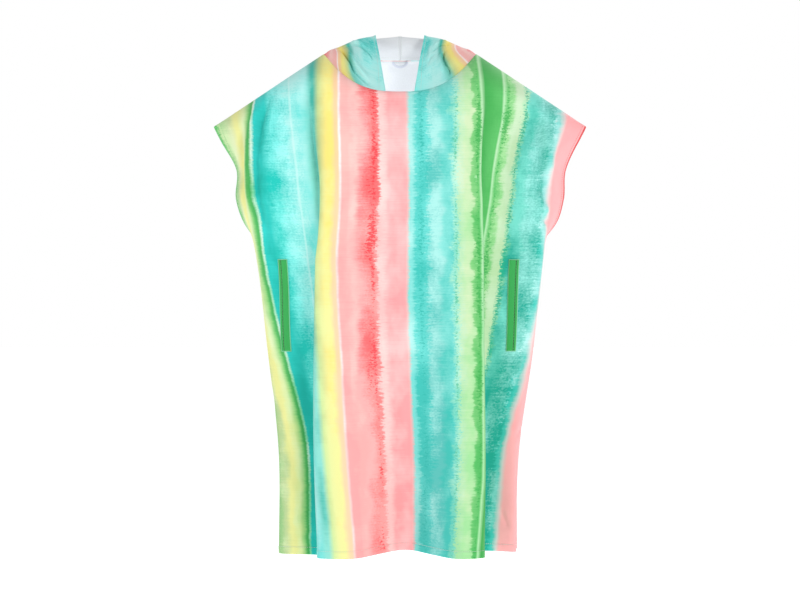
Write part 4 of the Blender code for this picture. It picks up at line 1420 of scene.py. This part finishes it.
HOOD_CREASES_RIGHT = HOOD_CREASES_BOTH + (
    Crease(-0.0105, 0.0034, ((0.022, 0.004), (0.055, 0.021), (0.081, 0.029), (0.101, 0.040),
                             (0.126, 0.046), (0.158, 0.060)), 24, 0.16),
    Crease(0.0060, 0.0060, ((0.030, 0.022), (0.062, 0.036), (0.090, 0.045), (0.116, 0.056),
                            (0.146, 0.070))),
    Crease(-0.0085, 0.0032, ((0.150, 0.074), (0.124, 0.098), (0.096, 0.108), (0.070, 0.108),
                             (0.048, 0.100), (0.034, 0.084)), 24, 0.16),
    Crease(0.0048, 0.0055, ((0.130, 0.108), (0.096, 0.120), (0.062, 0.120))),
    Crease(0.0030, 0.0100, ((0.038, 0.060), (0.050, 0.095), (0.046, 0.150))),
)

FRONT = PanelCut(
    "front_panel", -1.0, 0.090, 0.083,
    (SideEdge(ARMHOLE_LEFT, SIDE_SEAM_LEFT, FRONT_TURN_LEFT),
     SideEdge(ARMHOLE_RIGHT, SIDE_SEAM_RIGHT, FRONT_TURN_RIGHT)),
    (FRONT_FOLD_LEFT, FRONT_FOLD_RIGHT),
    (((0.290, FRONT_LOBE), (0.350, FRONT_FLANK), (0.410, FRONT_CENTRE), (0.470, FRONT_FLANK),
      (0.530, FRONT_LOBE)),),
    0.258, 0.562, FRONT_CREASES, 0.008,
)
BACK = PanelCut(
    "back_panel", 1.0, 0.075, 0.003,
    (SideEdge(ARMHOLE_LEFT, SIDE_SEAM_LEFT, BACK_TURN_LEFT),
     SideEdge(ARMHOLE_RIGHT, SIDE_SEAM_RIGHT, BACK_TURN_RIGHT)),
    (BACK_FOLD_LEFT, BACK_FOLD_MIDDLE, BACK_FOLD_RIGHT),
    (((0.315, BACK_LOBE),), ((0.475, BACK_LOBE),)),
    0.248, 0.552, BACK_CREASES,
)


@dataclass
class HoodHalf:
    """One half of the hood, from its face edge round to the middle of the back.

    The net's rows are places over which the cloth passes, from the neck seam over the ridge to the
    crown's seam; its columns go from the face edge to the middle of the back.
    """

    name: str
    side: float
    print_start: float
    print_lean: float
    creases: tuple[Crease, ...]
    lean_reach: float = 0.075
    print_level: float = -0.50
    face_hem: float = 0.012
    face_edge_x: float = 0.028
    columns: int = 132
    rows: int = 160
    easings: int = 40
    quiet_reach: float = 0.02
    end_rows: int = 2
    neck_stitch_row: int = 3
    neck_stitch_start: int = 66
    net: tuple[tuple[Place, ...], ...] = (
        ((0.039, -0.018, -0.014), (0.088, -0.004, 0.006), (0.143, 0.026, 0.011),
         (0.101, 0.066, 0.020), (0.000, 0.079, 0.026)),
        ((0.049, 0.064, 0.047), (0.091, 0.060, 0.038), (0.132, 0.058, 0.018),
         (0.082, 0.090, 0.040), (0.000, 0.096, 0.048)),
        ((0.042, 0.134, 0.028), (0.098, 0.142, -0.030), (0.138, 0.114, -0.072),
         (0.086, 0.116, -0.070), (0.000, 0.118, -0.060)),
        ((0.000, 0.168, 0.010), (0.000, 0.188, -0.070), (0.000, 0.182, -0.150),
         (0.000, 0.152, -0.206), (0.000, 0.124, -0.176)),
    )

    def neck_point(self, share: float) -> Array:
        """The point on the neck seam at a share of the way from the face edge to the back.

        Args:
            share: 0 at the face edge, 1 at the middle of the back.

        Returns:
            The point, on the side of positive x.
        """
        quarter = math.pi / 2
        start = math.asin(self.face_edge_x / NECK_HALF_WIDTH)
        if share < 0.5:
            angle, panel = start + (quarter - start) * share * 2.0, FRONT
        else:
            angle, panel = quarter * (1.0 - share) * 2.0, BACK
        point = panel.neckline(np.array([NECK_HALF_WIDTH * math.sin(angle)]))[0]
        return point + np.array([0.0, 0.0, SEAM_GAP])

    def grid(self) -> ClothGrid:
        """Works out the half, with its creases and its turned face edge.

        Returns:
            The half, on its own side, with the print's places as its chart.
        """
        shares = np.linspace(0.0, 1.0, self.columns)
        places = np.linspace(0.0, 1.0, len(self.net[0]))
        net_rows = [smooth(places, np.array(row), shares) for row in self.net]
        points = np.empty((self.rows, self.columns, 3))
        ups = np.empty((self.rows, self.columns))
        for i, share in enumerate(shares):
            knots = np.array([self.neck_point(share)] + [row[i] for row in net_rows])
            lengths = distances(knots)
            spots = np.linspace(0.0, lengths[-1], self.rows)
            points[:, i] = smooth(lengths, knots, spots)
            ups[:, i] = spots
        for _ in range(self.easings):
            beside = points[:-2, 1:-1] + points[2:, 1:-1] + points[1:-1, :-2] + points[1:-1, 2:]
            points[1:-1, 1:-1] = (points[1:-1, 1:-1] + beside / 4) / 2
        seam = distances(points[0])
        around = np.tile(seam, (self.rows, 1))
        normals = grid_normals(points) * self.facing(points)
        chart = np.dstack([around, ups])
        lift = creased(self.creases, chart)
        quiet = np.ones_like(around)
        for from_edge in (around, seam[-1] - around, ups, ups[-1] - ups):
            quiet = quiet * eased(from_edge / self.quiet_reach)
        hem = HEM_BULGE * eased((self.face_hem + TURN_EASE / 2 - around) / TURN_EASE)
        points = points + normals * (lift * quiet + hem)[..., None]
        limit = SEAM_GAP / 2 + np.abs(normals[..., 0]) * WALL / 2
        points[..., 0] = np.maximum(points[..., 0], limit)
        points[..., 0] *= self.side
        normals = grid_normals(points) * self.facing(points)
        lean = self.print_lean * self.lean_reach * np.tanh(ups / self.lean_reach)
        lean = lean * eased(around / self.lean_reach)
        printed = np.dstack([around + self.print_start - lean, ups + self.print_level])
        return ClothGrid(points, normals, printed)

    @staticmethod
    def facing(points: Array) -> float:
        """1 or -1, which turns the grid's normals outwards: away from the head's middle.

        Args:
            points: the half's points, R by C by 3.

        Returns:
            The factor for all of the grid's normals.
        """
        spot = (len(points) // 4, points.shape[1] // 3)
        middle = points[spot]
        normal = grid_normals(points)[spot]
        return 1.0 if normal[0] * middle[0] + max(normal[2], 0.0) > 0.0 else -1.0


# Pocket lips, across from the line that the pocket follows, towards the middle of the front
WIDE_LIP = (-0.0034, 0.0080)
NARROW_LIP = (-0.0084, -0.0048)


@dataclass(frozen=True)
class PocketLip:
    """One lip of a pocket, from the pocket's line towards the middle of the front, in metres."""

    name: str
    line: Track
    on_right: bool
    edges: tuple[float, float]
    lift: float = 0.0021
    thickness: float = 0.0017
    beyond: float = 0.0
    rows: int = 64
    columns: int = 7
    roundness: float = 0.0004

    def grid(self) -> ClothGrid:
        """Lays the lip on the front, moved out from its points.

        Returns:
            The lip.
        """
        levels = np.linspace(POCKET_TOP + self.beyond, POCKET_BOTTOM - self.beyond, self.rows)
        offsets = np.linspace(*self.edges, self.columns)
        alongs = self.line.read(levels) + offsets
        if self.on_right:
            alongs = (CUT_WIDTH - alongs)[:, ::-1]
        points = np.dstack([FRONT.hang(levels, alongs), np.tile(levels[:, None], (1, self.columns))])
        normals = grid_normals(points)
        across = np.linspace(-1.0, 1.0, self.columns)
        crown = self.roundness * (1.0 - across**2)
        points = points + normals * (self.lift + crown)[..., None]
        chart = np.dstack([alongs, np.tile(-levels[:, None], (1, self.columns))])
        return ClothGrid(points, normals, chart)


@dataclass(frozen=True)
class HangingLoop:
    """The flat tape loop inside the back of the neck."""

    half_width: float = 0.014
    drop: float = 0.010
    tape_width: float = 0.005
    thickness: float = 0.0011
    clearance: float = 0.0010
    steps: int = 48
    lines: int = 5
    chart_start: float = 0.01

    def grid(self) -> ClothGrid:
        """Works out the tape, which hangs straight down from the neck seam.

        Returns:
            The tape.
        """
        angles = np.linspace(0.0, math.pi, self.steps + 1)
        lift = WALL / 2 + self.clearance + self.thickness / 2
        rows, chart = [], []
        for offset in np.linspace(-self.tape_width / 2, self.tape_width / 2, self.lines):
            x = -(self.half_width - offset) * np.cos(angles)
            drop = (self.drop - offset) * np.sin(angles) + self.tape_width / 2
            rows.append(BACK.neckline(x) - np.stack([0 * x, 0 * x + lift, drop], axis=-1))
            across = 0 * x + offset + self.chart_start
            chart.append(np.stack([across, angles * self.half_width], axis=-1))
        points = np.array(rows)
        normals = np.zeros_like(points)
        normals[..., 1] = -1.0
        return ClothGrid(points, normals, np.array(chart))


@dataclass(frozen=True)
class Lamp:
    """A square soft lamp."""

    name: str
    place: Place
    size: float
    power: float
    target: Place = (0.0, 0.0, -0.40)

    def build(self) -> None:
        """Adds the lamp to the scene."""
        data = bpy.data.lights.new(self.name, "AREA")
        data.shape = "SQUARE"
        data.size = self.size
        data.energy = self.power
        lamp = bpy.data.objects.new(self.name, data)
        lamp.location = self.place
        lamp.visible_camera = False
        aim = Vector(self.target) - Vector(self.place)
        lamp.rotation_euler = aim.to_track_quat("-Z", "Y").to_euler()
        bpy.context.scene.collection.objects.link(lamp)


@dataclass(frozen=True)
class Studio:
    """The pale floor, the soft light and the camera."""

    camera_place: Place = (0.0, -4.0, -0.49)
    lens: float = 90.0
    floor_level: float = -1.30
    floor_glow: float = 0.62
    room_light: float = 0.45
    lamps: tuple[Lamp, ...] = (
        Lamp("key", (-3.0, -1.5, 1.2), 0.8, 24.0),
        Lamp("front", (1.9, -3.2, 1.2), 1.3, 56.0),
        Lamp("back", (2.4, 3.0, 1.6), 1.6, 80.0),
        Lamp("collar", (0.0, -0.040, -0.190), 0.14, 0.32, (0.0, 0.085, 0.000)),
    )

    def build(self) -> None:
        """Sets up everything that isn't the poncho."""
        self.build_floor()
        self.build_camera()
        self.build_world()
        for lamp in self.lamps:
            lamp.build()
        scene = bpy.context.scene
        scene.view_settings.view_transform = "Standard"
        scene.view_settings.look = "None"

    def build_floor(self) -> None:
        """A wide, pale, matt floor."""
        bm = bmesh.new()
        bmesh.ops.create_grid(bm, x_segments=1, y_segments=1, size=30.0)
        bmesh.ops.translate(bm, verts=bm.verts, vec=(0.0, 0.0, self.floor_level))
        mesh = mesh_of("floor", bm)
        shader = Shader("floor_paint")
        shader.set(Base_Color=(0.98, 0.98, 0.98), Roughness=0.95, Specular_IOR_Level=0.0,
                   Emission_Color=(1.0, 1.0, 1.0), Emission_Strength=self.floor_glow)
        mesh.materials.append(shader.material)
        linked("floor", mesh)

    def build_camera(self) -> None:
        """A long lens, level with the middle of the poncho."""
        data = bpy.data.cameras.new("camera")
        data.lens = self.lens
        data.sensor_width = 36.0
        camera = bpy.data.objects.new("camera", data)
        camera.location = self.camera_place
        camera.rotation_euler = (math.pi / 2, 0.0, 0.0)
        bpy.context.scene.collection.objects.link(camera)
        bpy.context.scene.camera = camera

    def build_world(self) -> None:
        """A white room, which gives less light than its white would."""
        world = bpy.data.worlds.new("studio")
        world.use_nodes = True
        background = world.node_tree.nodes["Background"]
        background.inputs["Color"].default_value = (1.0, 1.0, 1.0, 1.0)
        nodes = Nodes(world.node_tree)
        seen = nodes.node("ShaderNodeLightPath", {}, {}, "Is Camera Ray")
        nodes.feed(background.inputs["Strength"], seen * (1.0 - self.room_light) + self.room_light)
        bpy.context.scene.world = world


@dataclass
class Poncho:
    """The whole poncho, piece by piece."""

    outside: bpy.types.Material
    hood_outside_brightened: bpy.types.Material
    inside: bpy.types.Material
    lip_cloth: bpy.types.Material
    mouth_painted_shadow: bpy.types.Material
    lip_rim: bpy.types.Material
    tape: bpy.types.Material
    thread: bpy.types.Material
    mint_thread: bpy.types.Material
    coral_thread: bpy.types.Material
    pocket_rim: float = 0.0014
    lip_rounding: float = 0.0005
    lip_rounding_steps: int = 2

    @staticmethod
    def dress(piece: bpy.types.Object, slot: str, *nodes: str) -> bpy.types.Object:
        """Puts a piece on the body and hides the solids that it stands for.

        Args:
            piece: the piece.
            slot: not used.
            nodes: the solids, if there are any.

        Returns:
            The same piece.
        """
        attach(piece, BODY)
        if nodes:
            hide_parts(*nodes)
        LOG.info("%s: %d vertices", piece.name, len(piece.data.vertices))
        return piece

    def build(self) -> None:
        """Builds every piece."""
        on_front = self.build_pockets()
        self.build_panel(FRONT)
        self.build_panel(BACK)
        self.build_hood()
        loop = HangingLoop()
        piece = cloth_object("loop_tape", loop.grid(), self.tape, wall=loop.thickness)
        self.dress(piece, "tape", "hanging_loop")

    def build_panel(self, panel: PanelCut) -> None:
        """Builds a panel and the stitches round it.

        Args:
            panel: how the panel is cut and hangs.
        """
        grid = panel.grid()
        piece = cloth_object(f"{panel.name}_cloth", grid, self.outside, self.inside)
        self.dress(piece, "print", panel.name)
        points, normals = grid.points, grid.normals
        stitches = StitchRun(f"{panel.name}_stitches")
        hem_row = BAND_ROWS + SKIRT_ROWS + HEM_ROWS.index(HEM_TURN)
        stitches.follow(points[hem_row], normals[hem_row])
        neck = np.abs(points[0, :, 0]) < NECK_HALF_WIDTH
        drop = (points[NECK_STITCH_ROW] - points[0]) * panel.neck_stitch_share(grid)[:, None]
        stitches.follow((points[0] + drop)[neck], normals[NECK_STITCH_ROW // 2][neck])
        sewn = [self.dress(stitches.build(self.thread), "print")]
        for end, thread in ((0, self.mint_thread), (1, self.coral_thread)):
            sleeve = StitchRun(f"{panel.name}_sleeve_stitches_{'ab'[end]}")
            column = np.abs(grid.chart[LEVEL_ROW, :, 0] - panel.guides[end]).argmin()
            rows = slice(FIRST_STITCH_ROW, np.searchsorted(-points[:, column, 2], -UNDERARM_LEVEL))
            sleeve.follow(points[rows, column], normals[rows, column])
            sewn.append(self.dress(sleeve.build(thread), "print"))

    def build_hood(self) -> None:
        """Builds both halves of the hood and their stitches."""
        halves = (
            HoodHalf("hood_left", 1.0, 0.154, 0.15, HOOD_CREASES_LEFT),
            HoodHalf("hood_right", -1.0, 0.178, 1.20, HOOD_CREASES_RIGHT),
        )
        for half in halves:
            grid = half.grid()
            piece = cloth_object(f"{half.name}_cloth", grid, self.hood_outside_brightened, self.inside)
            self.dress(piece, "hood", half.name)
            points, normals = grid.points, grid.normals
            stitches = StitchRun(f"{half.name}_stitches")
            around = np.linalg.norm(points[0] - points[0, 0], axis=1)
            hem = np.searchsorted(around, half.face_hem)
            rows = slice(half.end_rows, -half.end_rows)
            stitches.follow(points[rows, hem], normals[rows, hem])
            stitches.follow(points[rows, -2], -normals[rows, -2])
            neck = (half.neck_stitch_row, slice(half.neck_stitch_start, -1))
            stitches.follow(points[neck], -normals[neck])
            sewn = self.dress(stitches.build(self.thread), "hood")

    def build_pockets(self) -> list[bpy.types.Object]:
        """Builds both pockets: two lips, a dark strip between them that is a painted shadow of the opening,
        a rim round them and their stitches.

        Returns:
            The pockets' pieces, which are sewn on the front.
        """
        pieces = []
        for side, line in (("left", POCKET_LEFT), ("right", POCKET_RIGHT)):
            on_right = side == "right"
            stitches = StitchRun(f"pocket_stitches_{side}", 0.0030, 0.0023, 0.0007)
            for width, edges in (("wide", WIDE_LIP), ("narrow", NARROW_LIP)):
                lip = PocketLip(f"pocket_lip_{side}_{width}", line, on_right, edges)
                grid = lip.grid()
                piece = cloth_object(f"{lip.name}_cloth", grid, self.lip_cloth, wall=lip.thickness)
                bevel = piece.modifiers.new("rounding", "BEVEL")
                bevel.width = self.lip_rounding
                bevel.segments = self.lip_rounding_steps
                pieces.append(self.dress(piece, "lip", lip.name))
                for column in (0, -1):
                    stitches.follow(grid.points[:, column], grid.normals[:, column])
            # The dark strip between the lips is a painted shadow of the pocket's opening.
            mouth = PocketLip(f"pocket_mouth_{side}", line, on_right, (NARROW_LIP[1], WIDE_LIP[0]),
                              lift=0.0013, thickness=0.0004)
            pieces.append(self.dress(cloth_object(mouth.name, mouth.grid(), self.mouth_painted_shadow,
                                                  wall=mouth.thickness), "lip"))
            rim = PocketLip(f"pocket_edge_{side}", line, on_right,
                            (NARROW_LIP[0] - self.pocket_rim, WIDE_LIP[1] + self.pocket_rim),
                            lift=0.0010, thickness=0.0006, beyond=self.pocket_rim)
            pieces.append(self.dress(cloth_object(rim.name, rim.grid(), self.lip_rim,
                                                  wall=rim.thickness), "lip"))
            pieces.append(self.dress(stitches.build(self.mint_thread), "lip"))
        return pieces


def main() -> None:
    """Builds the poncho and its studio."""
    logging.basicConfig(level=logging.INFO)
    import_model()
    poncho = Poncho(
        outside=StripedPrint().material(),
        # The hood's copy of the print runs paler: partly its own paler dye, partly painted light that lifts
        # the shade the hood lies in.
        hood_outside_brightened=StripedPrint("hood_print_brightened", 0.82, sinking=0.0, fold_mark_end=-1.0).material(),
        inside=PileInside().material(),
        lip_cloth=PlainCloth("lip_cloth", linear(52, 174, 84), Weave.TWILL).material(),
        # Near-black green for the pocket mouths: a painted shadow of their openings.
        mouth_painted_shadow=PlainCloth("mouth_painted_shadow", linear(16, 78, 40), Weave.TWILL).material(),
        lip_rim=PlainCloth("lip_rim", linear(150, 226, 182), Weave.TWILL).material(),
        tape=PlainCloth("loop_tape", linear(222, 227, 240), Weave.TAPE).material(),
        thread=Thread("sewing_thread", linear(226, 236, 228)).material(),
        mint_thread=Thread("mint_thread", linear(128, 214, 140)).material(),
        coral_thread=Thread("coral_thread", linear(214, 84, 80)).material(),
    )
    poncho.build()
    Studio().build()


if __name__ == "__main__":
    main()
